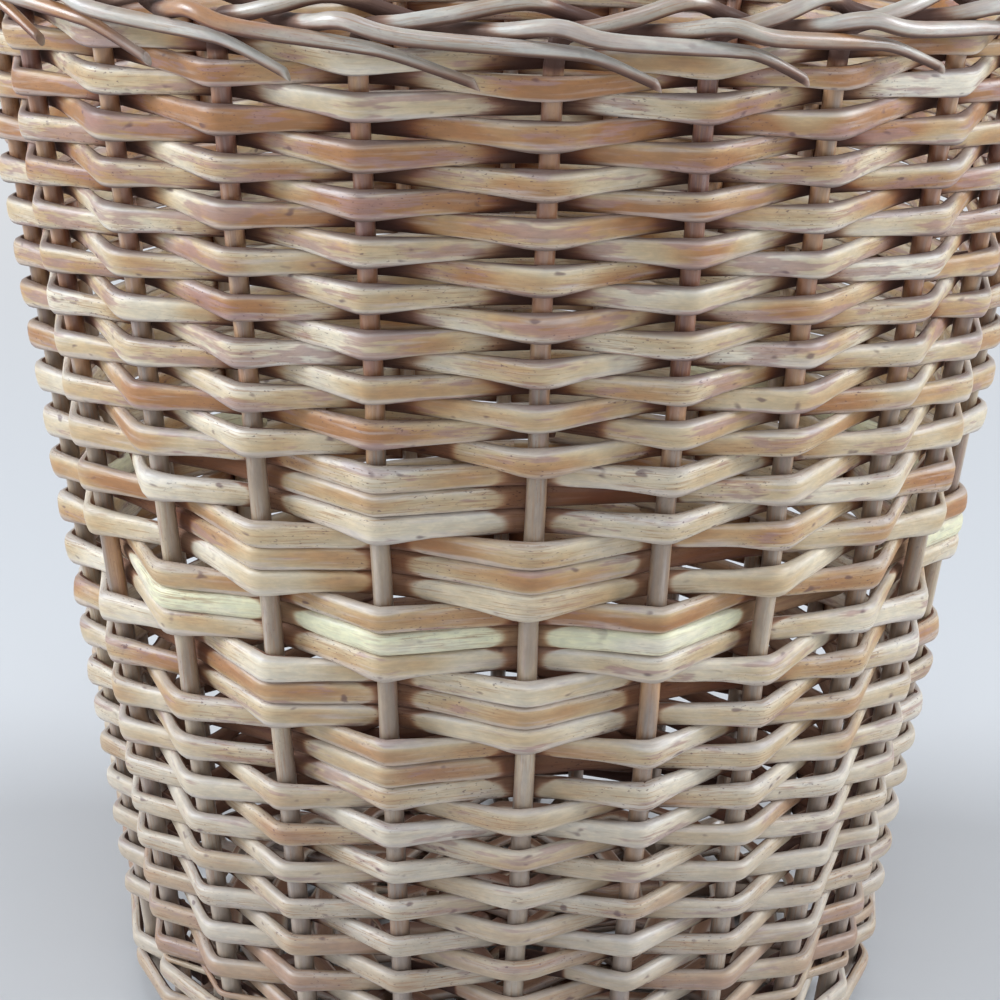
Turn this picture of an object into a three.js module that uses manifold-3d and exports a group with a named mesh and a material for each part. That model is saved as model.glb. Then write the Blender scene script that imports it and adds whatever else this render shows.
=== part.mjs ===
// Round wicker wastebasket woven from willow rods, in millimetres, +Z up.
// The origin is the middle of the underside, on the surface that the basket stands on.
// The front, with the middle of one lozenge, faces -Y. Angles are turned from there towards +X.
// Counting starts at the seam, the stake behind which the wall weavers begin each turn.
import * as THREE from "three";
import { mergeVertices } from "three/addons/utils/BufferGeometryUtils.js";
import Module from "manifold-3d";

const wasm = await Module();
wasm.setup();

// Layout of the whole basket
const sticksPerArm = 3; // base sticks side by side in each arm of the cross
const footRadius = 91; // from the axis to a stake where it turns up
const rimRadius = 123.5; // from the axis to a stake where it leaves the wall
const weaveTop = 254; // height that the weave is worked up to, in whole turns
const baseCrown = 5; // rise of the base in the middle, so that the basket doesn't rock

// Stakes
const stakeFootDiameter = 4.6;
const stakeRimDiameter = 4.1;
const stakeTipDiameter = 3;
const stakeBend = 3; // radius of the kink where a stake turns up
const tuckLength = 24; // how far a stake is pushed into the base
// Degrees that stakes set by hand stray to the right at the rim, from the seam on and over again
const stakeDrift = [0.4, -0.6, -0.4, -0.4, -1.2, 1.5, 0.8, -0.9];

// Weavers of the wall, flat inside and rounded outside
const weaverHeight = 4.5;
const bandWeaverHeight = 5; // of the stouter rods that the lozenges are woven with
const weaverThickness = 2.6;
const weaverTipHeight = 0.8;
const weaverTipThickness = 1;
const roundedShare = 0.55; // height of a weaver's outer face as a share of its inner one
const rodsPerChaser = 11; // rods joined end to end in each of the two chasing weavers
const frontSwell = 0.18; // how much taller a rod is in front of a stake, and lower behind it, as a share
const lapTail = 3.5; // how far a rod runs on behind the stake where the next one takes over

// Pattern of the wall: lozenges of blocks, each block three rods that cross a stake together
const rodsBelowBand = 15;
const blockRods = 3;
const lozengeLevels = 5;
const lozengeStakesEachSide = 3; // stakes that the widest level spans on each side of its middle

// Upsett, the three rods that lock the stakes at the foot
const upsettRods = 3;
const upsettHeight = 4;

// Base
const stickDiameter = 5.6;
const slathPitch = 6; // from stick to stick where they lie side by side
const splitHalf = 2.5; // thickness of each half of a split stick
const splitRun = 5; // length in which a split stick closes again past the sticks in its slit
const openRun = 9; // length in which the sticks of an arm fan out
const jointOverlap = 1; // how far the two halves of a split stick run into its round ends
const baseWeaverWidth = 5.4;
const bindingRods = 2; // rods that tie the cross, one outside the other
const bindingWidth = 3.4;

// Clearances
const weld = 0.0001; // corners of one mesh that are nearer than this are the same
const seat = 0.35; // between a rod and the stake that it crosses
const baseSeat = 0.8; // the same on the base, where the rods cross more steeply
const rowGap = 0.4; // between one row and the next
const touch = 0.3; // between other rods that touch

// What follows from these
const stakeCount = 8 * sticksPerArm; // two stakes to each end of a stick
const stickEnds = stakeCount / 2;
const stakeStep = (2 * Math.PI) / stakeCount;
const stickStep = (2 * Math.PI) / stickEnds;
const stakesFromSeam = 4; // stakes from the seam to the middle of the first lozenge
const lozengePeriod = stakeCount / sticksPerArm;
const stickRadius = stickDiameter / 2;
const baseLevel = stickRadius + baseSeat + weaverThickness; // height of the sticks' axes at the edge
const upsettSlot = upsettHeight + rowGap;
const upsettFoot = baseLevel + stakeFootDiameter / 2 + seat;
const wallFoot = upsettFoot + upsettRods * upsettSlot;
const wallSlot = weaverHeight + rowGap;
const tipSlot = weaverTipHeight + rowGap;
const bandTurns = (lozengeLevels * blockRods) / 2; // turns of a chasing rod within the band
const bandExtra = bandTurns * (bandWeaverHeight - weaverHeight); // what the stouter rods add
const plainTurns = ((weaveTop - wallFoot) / 2 - tipSlot - bandExtra) / wallSlot;
const wallTurns = 1 + Math.round(plainTurns); // of each chasing rod
const wallHeight = 2 * ((wallTurns - 1) * wallSlot + tipSlot + bandExtra);
const wallTop = wallFoot + wallHeight;
const lean = Math.atan((rimRadius - footRadius) / (wallTop - baseLevel));
const stakeFootRadius = stakeFootDiameter / 2;
const insideReach = stakeFootRadius + seat + 2 * (weaverThickness + rowGap);
const baseOuter = footRadius - insideReach;
const armHalfWidth = ((sticksPerArm - 1) * slathPitch + stickDiameter) / 2;
const splitEnd = armHalfWidth + touch + splitRun;
const bindingInner = splitEnd + touch;
const bindingOuter = bindingInner + bindingRods * (bindingWidth + rowGap) - rowGap;
const baseSlot = baseWeaverWidth + rowGap;
const baseRoom = baseOuter - (bindingOuter + openRun + stickRadius);
const baseTurns = 1 + Math.floor((baseRoom / 2 - tipSlot) / baseSlot); // as many as there is room for
const baseInner = baseOuter - 2 * ((baseTurns - 1) * baseSlot + tipSlot);
const fanRadius = baseInner - stickRadius; // where the sticks stand evenly apart
const armLength = fanRadius - openRun;
const stickReach = baseOuter + 2 * touch;
const tuckRadius = footRadius - stakeBend - tuckLength;
const tuckSide = stickRadius + touch + stakeFootRadius; // from a stick to the stake beside it

const willow = new THREE.MeshStandardMaterial({ color: 0xbea27a, roughness: 0.55, metalness: 0 });
const darkWillow = new THREE.MeshStandardMaterial({ color: 0xa5805c, roughness: 0.6, metalness: 0 });
const stakeWillow = new THREE.MeshStandardMaterial({ color: 0x96735a, roughness: 0.6, metalness: 0 });
const stickWillow = new THREE.MeshStandardMaterial({ color: 0x8c7050, roughness: 0.65, metalness: 0 });

const mix = (a, b, share) => a + (b - a) * share;
const clamp01 = (x) => Math.min(1, Math.max(0, x));

const driftOf = (stake) => THREE.MathUtils.degToRad(stakeDrift[stake % stakeDrift.length]);

// How far a stake's place at the rim lies from its even place. Between two stakes it changes gently.
function rimDrift(step) {
  const stake = Math.floor(step);
  const share = THREE.MathUtils.smoothstep(step - stake, 0, 1);
  return mix(driftOf(stake), driftOf(stake + 1), share);
}

// Angle of a stake counted from the seam, evenly set at its foot; half a step more is the stick
// between two stakes.
const stakeAngle = (step, z = baseLevel) =>
  (step - stakesFromSeam) * stakeStep + rimDrift(step) * ((z - baseLevel) / (wallTop - baseLevel));
const stickAngle = (step) => (2 * step + 0.5 - stakesFromSeam) * stakeStep;
const outward = (angle) => new THREE.Vector3(Math.sin(angle), -Math.cos(angle), 0);
const along = (angle) => new THREE.Vector3(Math.cos(angle), Math.sin(angle), 0);

// The wall is a cone through the stakes' axes.
const wallRadius = (z) => footRadius + (z - baseLevel) * Math.tan(lean);
const stakeRadiusAt = (z) => mix(stakeFootDiameter, stakeRimDiameter, clamp01(z / wallTop)) / 2;

// Height of the sticks' axes: level out to the edge, crowned towards the middle.
function baseHeight(radius) {
  return baseLevel + baseCrown * clamp01((tuckRadius - radius) / (tuckRadius - armLength));
}

// A closed rod through rings of points. Each ring turns right-handed about the way that the rod runs.
function rodThroughRings(rings) {
  const sides = rings[0].length;
  const position = rings.flat().flatMap((p) => [p.x, p.y, p.z]);
  const index = [];
  for (let r = 0; r + 1 < rings.length; r++) {
    for (let i = 0; i < sides; i++) {
      const a = r * sides + i;
      const b = r * sides + ((i + 1) % sides);
      index.push(a, b, b + sides, a, b + sides, a + sides);
    }
  }
  const last = (rings.length - 1) * sides;
  for (let i = 1; i + 1 < sides; i++) {
    index.push(0, i + 1, i, last, last + i, last + i + 1);
  }
  const geometry = new THREE.BufferGeometry();
  geometry.setAttribute("position", new THREE.Float32BufferAttribute(position, 3));
  geometry.setIndex(index);
  return geometry;
}

// A round rod along a path of points, with its radius at each point.
function roundRod(path, radii, sides) {
  const direction = (i) => {
    const from = path[Math.max(0, i - 1)];
    const to = path[Math.min(path.length - 1, i + 1)];
    if (i === 0 || i === path.length - 1) return to.clone().sub(from).normalize();
    const before = path[i].clone().sub(from).normalize();
    return to.clone().sub(path[i]).normalize().add(before).normalize();
  };
  let heading = direction(0);
  const side = new THREE.Vector3(0, 0, 1).cross(heading).normalize(); // every rod starts off level
  const rings = path.map((point, i) => {
    const next = direction(i);
    side.applyQuaternion(new THREE.Quaternion().setFromUnitVectors(heading, next));
    heading = next;
    const up = heading.clone().cross(side);
    return Array.from({ length: sides }, (_, s) => {
      const turn = (2 * Math.PI * s) / sides;
      return point
        .clone()
        .addScaledVector(side, radii[i] * Math.cos(turn))
        .addScaledVector(up, radii[i] * Math.sin(turn));
    });
  });
  return rodThroughRings(rings);
}

// One ring of a weaver: its flat face towards -out, its narrower rounded face towards +out.
function weaverRing(frame, offset, height, thickness) {
  const wide = height / 2;
  const narrow = wide * roundedShare;
  const deep = thickness / 2;
  const corners = [
    [-wide, -deep],
    [wide, -deep],
    [narrow, deep],
    [-narrow, deep],
  ];
  return corners.map(([a, o]) =>
    frame.origin
      .clone()
      .addScaledVector(frame.across, a)
      .addScaledVector(frame.out, offset + o),
  );
}

// Rows on the wall are laid by height and stand out from the cone of the stakes.
function wallFrame(angle, z) {
  const up = new THREE.Vector3(0, 0, 1);
  const radial = outward(angle);
  return {
    origin: radial.clone().multiplyScalar(wallRadius(z)).setZ(z),
    out: radial.clone().multiplyScalar(Math.cos(lean)).addScaledVector(up, -Math.sin(lean)),
    across: radial.clone().multiplyScalar(Math.sin(lean)).addScaledVector(up, Math.cos(lean)),
  };
}

// Rows on the base are laid by radius and stand up from the sticks. Spread is the angle from the
// stick that a straight crossing is measured at.
function baseFrame(angle, radius, spread) {
  const origin = outward(angle).multiplyScalar(radius / Math.cos(spread));
  return {
    origin: origin.setZ(baseHeight(radius)),
    out: new THREE.Vector3(0, 0, 1),
    across: outward(angle).negate(),
  };
}

// Levels of two rods that chase each other, with the height of a rod after any count of turns. Each
// begins and ends with a turn of thin tip, so that both edges of the weave lie level although the
// rods climb.
function chaseLevels(uprights, turns, heightAfter) {
  const levels = [[], []];
  for (let step = 0; step < uprights * turns; step++) {
    const turn = Math.floor(step / uprights);
    const share = (step % uprights) / uprights;
    const height = heightAfter(turn + share);
    let h = height;
    if (turn === 0) h = mix(weaverTipHeight, height, share);
    if (turn === turns - 1) h = mix(height, weaverTipHeight, share);
    for (const rod of [0, 1]) {
      let low = 0;
      if (rod === 1) low = levels[0][step].high + rowGap;
      else if (turn > 0) low = levels[1][step - uprights].high + rowGap;
      levels[rod].push({ low, high: low + h });
    }
  }
  return levels;
}

function thicknessFor(height, fullHeight) {
  const share = (height - weaverTipHeight) / (fullHeight - weaverTipHeight);
  return mix(weaverTipThickness, weaverThickness, clamp01(share));
}

// A weaver from one upright to another. Its level, height, thickness and side come from row(step),
// and spots(step, level) gives where it crosses an upright. A rod that takes over from another
// starts one thickness further in, behind the end of that rod.
function weaver({ row, spots, frame, from, to, takesOver }) {
  const rings = [];
  for (let step = from; step <= to; step++) {
    const { level, height, thickness, offset } = row(step);
    const crossing = spots(step, level);
    const tail = lapTail / crossing.radius;
    const first = step === from;
    const lapped = first && takesOver;
    const depth = lapped ? offset + Math.sign(offset) * (thickness + rowGap) : offset;
    const angles = [...crossing.angles];
    if (first) angles.unshift(angles[0] - tail);
    if (step === to || lapped) angles.push(angles.at(-1) + tail);
    for (const angle of angles) {
      rings.push(weaverRing(frame(angle, level, crossing.spread), depth, height, thickness));
    }
  }
  return rodThroughRings(rings);
}

const part = new THREE.Group();
function addMesh(name, geometry, material) {
  const mesh = new THREE.Mesh(geometry, material);
  mesh.name = name;
  part.add(mesh);
}
const numbered = (name, i) => name + "_" + String(i + 1).padStart(2, "0");

// Wall weave. Each rod passes in front of a stake and behind the next; in the band the middle rod
// of each block joins its two neighbours, which draws the lozenges.
// At either edge of the band the rods change over one turn, so that the rim stays level.
function rodHeightAfter(turns) {
  const bandFoot = rodsBelowBand / 2;
  const entered = clamp01(turns - bandFoot + 0.5);
  const left = clamp01(turns - bandFoot - bandTurns + 0.5);
  return mix(weaverHeight, bandWeaverHeight, entered - left);
}
const wallLevels = chaseLevels(stakeCount, wallTurns, rodHeightAfter);

function isBlockMiddle(rodFromBottom, stake) {
  const inBand = rodFromBottom - rodsBelowBand;
  const level = Math.floor(inBand / blockRods);
  if (level < 0 || level >= lozengeLevels || inBand % blockRods !== 1) return false;
  const fromMiddle = Math.abs((stake % lozengePeriod) - stakesFromSeam);
  return fromMiddle <= lozengeStakesEachSide - Math.abs(level - (lozengeLevels - 1) / 2);
}

// 1 where the rod passes in front of the stake, -1 where it passes behind.
function wallSide(chaser, step) {
  const stake = step % stakeCount;
  const rodFromBottom = 2 * Math.floor(step / stakeCount) + chaser;
  const front = (rodFromBottom + stake) % 2 === 1;
  return front !== isBlockMiddle(rodFromBottom, stake) ? 1 : -1;
}

// Whether a rod has room to swell, because both of its neighbours cross on the stake's other side.
// The lowest one lies on the upsett.
function crossesAlone(chaser, step) {
  const rodFromBottom = 2 * Math.floor(step / stakeCount) + chaser;
  if (rodFromBottom === 0) return false;
  return [-1, 0, 1].every((next) => !isBlockMiddle(rodFromBottom + next, step % stakeCount));
}

function wallRow(chaser, step) {
  const { low, high } = wallLevels[chaser][step];
  const level = wallFoot + (low + high) / 2;
  const side = wallSide(chaser, step);
  const swell = crossesAlone(chaser, step) ? 1 + side * frontSwell : 1;
  const thickness = thicknessFor(high - low, weaverHeight);
  const reach = stakeRadiusAt(level) + seat + thickness / 2;
  return { level, height: (high - low) * swell, thickness, offset: side * reach };
}

const wallSpots = (step, level) => ({
  angles: [stakeAngle(step, level)],
  radius: wallRadius(level),
  spread: 0,
});

// Rods change over behind a stake whose neighbours the weaver passes in front of.
function nearestJoin(chaser, wanted) {
  for (let away = 0; ; away++) {
    for (const step of [wanted - away, wanted + away]) {
      const sides = [-1, 0, 1].map((next) => wallSide(chaser, step + next));
      if (sides[0] === 1 && sides[1] === -1 && sides[2] === 1) return step;
    }
  }
}

function addWallRods(chaser, name, material) {
  const steps = stakeCount * wallTurns;
  const first = wallSide(chaser, 0) < 0 ? 0 : 1;
  const last = wallSide(chaser, steps - 1) < 0 ? steps - 1 : steps - 2;
  let from = first;
  for (let i = 0; i < rodsPerChaser; i++) {
    const wanted = Math.round(mix(first, last, (i + 1) / rodsPerChaser));
    const to = i + 1 < rodsPerChaser ? nearestJoin(chaser, wanted) : last;
    const row = (step) => wallRow(chaser, step);
    const geometry = weaver({ row, spots: wallSpots, frame: wallFrame, from, to, takesOver: i > 0 });
    addMesh(numbered(name, i), geometry, material);
    from = to;
  }
}
addWallRods(0, "wall_weaver_a", willow);
addWallRods(1, "wall_weaver_b", darkWillow);

// Upsett: three rods, one above the other, each in front of two stakes and behind one, one turn
// round. Each ends behind the stake where it began.
for (let rod = 0; rod < upsettRods; rod++) {
  const from = (2 * upsettRods - 1 - rod) % upsettRods;
  const row = (step) => {
    const level = upsettFoot + (rod + 0.5) * upsettSlot;
    const reach = stakeRadiusAt(level) + seat + weaverThickness / 2;
    const side = (step - from) % upsettRods === 0 ? -1 : 1;
    return { level, height: upsettHeight, thickness: weaverThickness, offset: side * reach };
  };
  const to = from + stakeCount;
  const geometry = weaver({ row, spots: wallSpots, frame: wallFrame, from, to, takesOver: true });
  addMesh(numbered("upsett_rod", rod), geometry, darkWillow);
}

// Stakes, from the tip in the base to the cut end under the border.
// The border's route is given in stake steps to the right, and outward and upward in rod diameters:
// up over the rod that comes out, behind the next stake, out and in front of the next two, and down.
const borderRoute = [
  [0.05, 0, 0.72],
  [0.25, 0.19, 1.15],
  [0.5, 0.24, 1.65],
  [0.84, -0.1, 2.2],
  [1.15, -1.12, 1.3],
  [1.42, -0.8, 0.75],
  [1.72, 0.7, 1.05],
  [2, 1.88, 1.6],
  [2.3, 2.07, 1.05],
  [3, 1.7, 0.5],
  [3.25, 1.6, 0.1],
  [3.62, 1.5, -1.15],
];
const borderUnit = stakeRimDiameter + touch / 2;
const kinkTurns = [0, 1]; // shares of the bend where a stake turns up
const stakeSideCount = 5;

// Distance of a tucked stake from its stick's line, at a radius.
function tuckOffset(radius) {
  const edge = (footRadius - stakeBend) * Math.sin(stakeStep / 2);
  return mix(tuckSide, edge, clamp01((radius - tuckRadius) / tuckLength));
}

function stakeGeometry(step) {
  const beside = step % 2 === 0 ? -1 : 1; // which side of its stick the stake lies on
  const stick = stakeAngle(step) - (beside * stakeStep) / 2;
  const tip = outward(stick)
    .multiplyScalar(tuckRadius)
    .addScaledVector(along(stick), beside * tuckSide)
    .setZ(baseLevel);
  const path = [tip];
  const radii = [stakeFootRadius];
  const rise = Math.PI / 2 - lean;
  const bendFoot = footRadius + stakeBend * (Math.tan(lean) - 1 / Math.cos(lean));
  for (const share of kinkTurns) {
    const turn = share * rise;
    const radius = bendFoot + stakeBend * Math.sin(turn);
    const z = baseLevel + stakeBend * (1 - Math.cos(turn));
    path.push(outward(stakeAngle(step)).multiplyScalar(radius).setZ(z));
    radii.push(stakeFootRadius);
  }
  const place = (right, out, up) => {
    const frame = wallFrame(stakeAngle(step + right, wallTop), wallTop);
    return frame.origin.addScaledVector(frame.out, out).addScaledVector(frame.across, up);
  };
  path.push(place(0, 0, -touch));
  radii.push(stakeRimDiameter / 2);
  const end = borderRoute.at(-1)[0];
  for (const [right, out, up] of borderRoute) {
    path.push(place(right, out * borderUnit, up * borderUnit));
    radii.push(mix(stakeRimDiameter, stakeTipDiameter, right / end) / 2);
  }
  return roundRod(path, radii, stakeSideCount);
}
for (let step = 0; step < stakeCount; step++) {
  addMesh(numbered("stake", step), stakeGeometry(step), stakeWillow);
}

// Base sticks. Each arm of the cross has its sticks side by side, which fan out evenly further on.
const stickSideCount = 6;
const crossAngle = stickAngle(0) + ((sticksPerArm - 1) / 2) * stickStep;

function halfStickPath(lane, armAngle) {
  const fan = armAngle + lane * stickStep;
  const side = lane * slathPitch;
  const inner = outward(armAngle).multiplyScalar(armLength).addScaledVector(along(armAngle), side);
  return [
    inner.setZ(baseHeight(armLength)),
    outward(fan).multiplyScalar(fanRadius).setZ(baseHeight(fanRadius)),
    outward(fan).multiplyScalar(tuckRadius).setZ(baseLevel),
    outward(fan).multiplyScalar(stickReach).setZ(baseLevel),
  ];
}

function throughStick(lane, angle) {
  const path = [...halfStickPath(-lane, angle + Math.PI).reverse(), ...halfStickPath(lane, angle)];
  return roundRod(path, Array(path.length).fill(stickRadius), stickSideCount);
}

function solidOf(geometry) {
  const bare = geometry.clone();
  for (const name of Object.keys(bare.attributes)) {
    if (name !== "position") bare.deleteAttribute(name);
  }
  const merged = mergeVertices(bare, weld);
  return new wasm.Manifold(
    new wasm.Mesh({
      numProp: 3,
      vertProperties: merged.attributes.position.array,
      triVerts: new Uint32Array(merged.index.array),
    }),
  );
}

function geometryOf(solid) {
  const mesh = solid.getMesh();
  const geometry = new THREE.BufferGeometry();
  geometry.setAttribute("position", new THREE.BufferAttribute(mesh.vertProperties, mesh.numProp));
  geometry.setIndex(new THREE.BufferAttribute(mesh.triVerts, 1));
  return geometry;
}

// The middle of a split stick, drawn from the side: two halves that bow round the sticks in its slit.
function slitMiddle(lane, angle) {
  const joint = armLength + jointOverlap;
  const slitHeight = stickRadius + touch;
  const bow = slitHeight + splitHalf;
  const bowEnd = armHalfWidth + touch;
  const outline = new THREE.Shape();
  outline.moveTo(-joint, -stickRadius);
  outline.lineTo(-splitEnd, -stickRadius);
  outline.lineTo(-bowEnd, -bow);
  outline.lineTo(bowEnd, -bow);
  outline.lineTo(splitEnd, -stickRadius);
  outline.lineTo(joint, -stickRadius);
  outline.lineTo(joint, stickRadius);
  outline.lineTo(splitEnd, stickRadius);
  outline.lineTo(bowEnd, bow);
  outline.lineTo(-bowEnd, bow);
  outline.lineTo(-splitEnd, stickRadius);
  outline.lineTo(-joint, stickRadius);
  outline.closePath();
  const slit = new THREE.Path();
  slit.moveTo(-splitEnd, 0);
  slit.lineTo(-bowEnd, slitHeight);
  slit.lineTo(bowEnd, slitHeight);
  slit.lineTo(splitEnd, 0);
  slit.lineTo(bowEnd, -slitHeight);
  slit.lineTo(-bowEnd, -slitHeight);
  slit.closePath();
  outline.holes.push(slit);
  const geometry = new THREE.ExtrudeGeometry(outline, {
    depth: stickDiameter,
    bevelEnabled: false,
  });
  geometry.translate(0, 0, -stickRadius);
  const basis = new THREE.Matrix4().makeBasis(
    outward(angle),
    new THREE.Vector3(0, 0, 1),
    along(angle).negate(),
  );
  basis.setPosition(along(angle).multiplyScalar(lane * slathPitch).setZ(baseHeight(0)));
  return solidOf(geometry.applyMatrix4(basis));
}

function splitStick(lane, angle) {
  let solid = slitMiddle(lane, angle);
  for (const [side, turned] of [
    [lane, angle],
    [-lane, angle + Math.PI],
  ]) {
    const path = halfStickPath(side, turned);
    const radii = Array(path.length).fill(stickRadius);
    solid = solid.add(solidOf(roundRod(path, radii, stickSideCount)));
  }
  return geometryOf(solid);
}

for (let i = 0; i < sticksPerArm; i++) {
  const lane = i - (sticksPerArm - 1) / 2;
  addMesh(numbered("through_stick", i), throughStick(lane, crossAngle), stickWillow);
  addMesh(numbered("split_stick", i), splitStick(lane, crossAngle + Math.PI / 2), stickWillow);
}

// Binding rods, one outside the other, each over one arm of the cross and under the next.
const arms = 4;
for (let rod = 0; rod < bindingRods; rod++) {
  const level = bindingInner + bindingWidth / 2 + rod * (bindingWidth + rowGap);
  const cornerReach = (Math.SQRT2 - 1) * rod * (bindingWidth + rowGap);
  const spread = Math.atan2(armHalfWidth + touch + cornerReach, level);
  const spots = (step) => {
    const angle = crossAngle + (step * 2 * Math.PI) / arms;
    return { angles: [angle - spread, angle + spread], radius: level, spread };
  };
  const row = (step) => {
    const reach = stickRadius + baseSeat + weaverThickness / 2;
    const side = (step + rod) % 2 === 0 ? -1 : 1;
    return { level, height: bindingWidth, thickness: weaverThickness, offset: side * reach };
  };
  const to = rod + arms - 1;
  const geometry = weaver({ row, spots, frame: baseFrame, from: rod, to, takesOver: false });
  addMesh(numbered("binding_rod", rod), geometry, willow);
}

// Base weave: two rods chase each other outward over and under the fanned sticks. Near the edge
// they cross each stick together with the two stakes beside it.
const baseLevels = chaseLevels(stickEnds, baseTurns, () => baseWeaverWidth);

function baseSpots(step, level) {
  const angle = stickAngle(step);
  if (level + baseWeaverWidth < tuckRadius) return { angles: [angle], radius: level, spread: 0 };
  const spread = Math.atan2(tuckOffset(level) + stakeFootRadius + touch, level);
  return { angles: [angle - spread, angle + spread], radius: level, spread };
}

for (const rod of [0, 1]) {
  const row = (step) => {
    const { low, high } = baseLevels[rod][step];
    const thickness = thicknessFor(high - low, baseWeaverWidth);
    const reach = stickRadius + baseSeat + thickness / 2;
    const side = (step + rod) % 2 === 0 ? -1 : 1;
    return {
      level: baseInner + (low + high) / 2,
      height: high - low,
      thickness,
      offset: side * reach,
    };
  };
  const to = stickEnds * baseTurns - 1;
  const geometry = weaver({ row, spots: baseSpots, frame: baseFrame, from: 0, to, takesOver: false });
  addMesh(numbered("base_weaver", rod), geometry, willow);
}

export default part;
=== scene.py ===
# %% [markdown]
# Wicker wastebasket
#
# An open round basket, woven from willow rods on upright stakes, wider at the rim than at the
# foot. The solid model carries each rod as a plain faceted bar in its true place. This script
# bends a finer rod for each of them and gives it the look of aged, waxed willow.
#
# Everything is in metres. The basket stands on the floor with its axis on +Z and the middle of
# one lozenge facing -Y.

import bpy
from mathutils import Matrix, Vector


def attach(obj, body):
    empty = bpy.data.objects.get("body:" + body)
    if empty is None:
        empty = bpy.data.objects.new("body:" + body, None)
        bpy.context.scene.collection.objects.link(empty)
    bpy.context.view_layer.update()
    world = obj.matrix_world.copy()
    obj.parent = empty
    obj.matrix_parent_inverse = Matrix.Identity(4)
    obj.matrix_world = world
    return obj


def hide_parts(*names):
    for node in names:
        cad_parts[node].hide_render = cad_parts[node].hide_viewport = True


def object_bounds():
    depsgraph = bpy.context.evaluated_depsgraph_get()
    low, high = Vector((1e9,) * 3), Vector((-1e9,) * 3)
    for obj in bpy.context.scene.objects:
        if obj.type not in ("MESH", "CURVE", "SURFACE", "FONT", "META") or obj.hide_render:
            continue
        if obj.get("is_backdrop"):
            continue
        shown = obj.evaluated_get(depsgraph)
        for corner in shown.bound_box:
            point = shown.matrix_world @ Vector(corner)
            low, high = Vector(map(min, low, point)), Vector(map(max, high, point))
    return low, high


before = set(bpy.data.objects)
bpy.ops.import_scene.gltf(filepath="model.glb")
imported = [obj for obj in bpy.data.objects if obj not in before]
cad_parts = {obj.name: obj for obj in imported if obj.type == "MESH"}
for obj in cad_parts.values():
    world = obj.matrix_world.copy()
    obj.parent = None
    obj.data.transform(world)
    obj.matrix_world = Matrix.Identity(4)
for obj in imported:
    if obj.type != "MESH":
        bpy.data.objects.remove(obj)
cad_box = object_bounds()
print(len(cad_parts), "rods in the frame")

# %% Modules
import math
import random
from collections import namedtuple

import bmesh
import bpy
from mathutils import Matrix, Vector, noise

# %% [markdown]
# Camera
#
# The photograph is a close view of the wall from a little above the rim. A camera could be placed
# by eye, but a weave shows every small error. Here the lens and the place follow from how the
# evenly spaced stakes crowd together towards the sides. The camera stands a little to the right
# of the first lozenge's middle, and is tilted slightly.

# %% Camera
LENS_MM = 94.2
NEAREST_SEEN = 0.01
CAMERA_DISTANCE = 0.6227
CAMERA_HEIGHT = 0.3355
CAMERA_AZIMUTH = math.radians(13.4)
CAMERA_TURN = math.radians(0.23)
CAMERA_PITCH = math.radians(18.64)
CAMERA_ROLL = math.radians(1.08)


def outward(angle):
    """The way out from the axis, at an angle from -Y."""
    return Vector((math.sin(angle), -math.cos(angle), 0))


def along(angle):
    """The way round the axis at that angle."""
    return Vector((math.cos(angle), math.sin(angle), 0))


camera_data = bpy.data.cameras.new("camera")
camera_data.lens = LENS_MM
camera_data.clip_start = NEAREST_SEEN
camera = bpy.data.objects.new("camera", camera_data)
bpy.context.collection.objects.link(camera)
camera.matrix_world = (
    Matrix.Translation(outward(CAMERA_AZIMUTH) * CAMERA_DISTANCE + Vector((0, 0, CAMERA_HEIGHT)))
    @ Matrix.Rotation(CAMERA_AZIMUTH + CAMERA_TURN, 4, "Z")
    @ Matrix.Rotation(math.pi / 2 - CAMERA_PITCH, 4, "X")
    @ Matrix.Rotation(CAMERA_ROLL, 4, "Z")
)
bpy.context.scene.camera = camera
print("camera at", [round(x, 3) for x in camera.location])

# %% [markdown]
# Measures of the basket
#
# These are the driving sizes of the solid model. Boxes measured on its rods would say where each
# rod lies, but not which way it goes, so the script repeats the rule of the weave instead. A stake
# runs in a cone-shaped wall, a weaver passes it on a level, and every other measure follows.

# %% Driving sizes
# Stakes and the wall
STICKS_PER_ARM = 3
STAKES = 8 * STICKS_PER_ARM
STICK_ENDS = STAKES // 2
FOOT_RADIUS = 0.091
RIM_RADIUS = 0.1235
BASE_CROWN = 0.005
STAKE_FOOT_DIAMETER = 0.0046
STAKE_RIM_DIAMETER = 0.0041
STAKE_TIP_DIAMETER = 0.003
STAKE_BEND = 0.003
TUCK_LENGTH = 0.024
# How far each of eight stakes has drifted at the rim, in degrees
STAKE_DRIFT = (0.4, -0.6, -0.4, -0.4, -1.2, 1.5, 0.8, -0.9)

# Weavers of the wall
WALL_TURNS = 24
WEAVER_HEIGHT = 0.0045
BAND_WEAVER_HEIGHT = 0.005
WEAVER_THICKNESS = 0.0026
TIP_HEIGHT = 0.0008
TIP_THICKNESS = 0.001
RODS_PER_CHASER = 11
LAP_TAIL = 0.0035

# The band of lozenges
RODS_BELOW_BAND = 15
BLOCK_RODS = 3
LOZENGE_LEVELS = 5
LOZENGE_REACH = 3
SEAM_TO_MIDDLE = 4

# Upsett and base
UPSETT_RODS = 3
UPSETT_HEIGHT = 0.004
STICK_DIAMETER = 0.0056
SLATH_PITCH = 0.006
SPLIT_RUN = 0.005
OPEN_RUN = 0.009
BASE_TURNS = 5
BASE_WEAVER_WIDTH = 0.0054
BINDING_WIDTH = 0.0034

# Room between rods that touch
SEAT = 0.00035
BASE_SEAT = 0.0008
ROW_GAP = 0.0004
TOUCH = 0.0003
print(STAKES, "stakes,", STICK_ENDS, "ends of sticks,", WALL_TURNS, "turns of two weavers")

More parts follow.
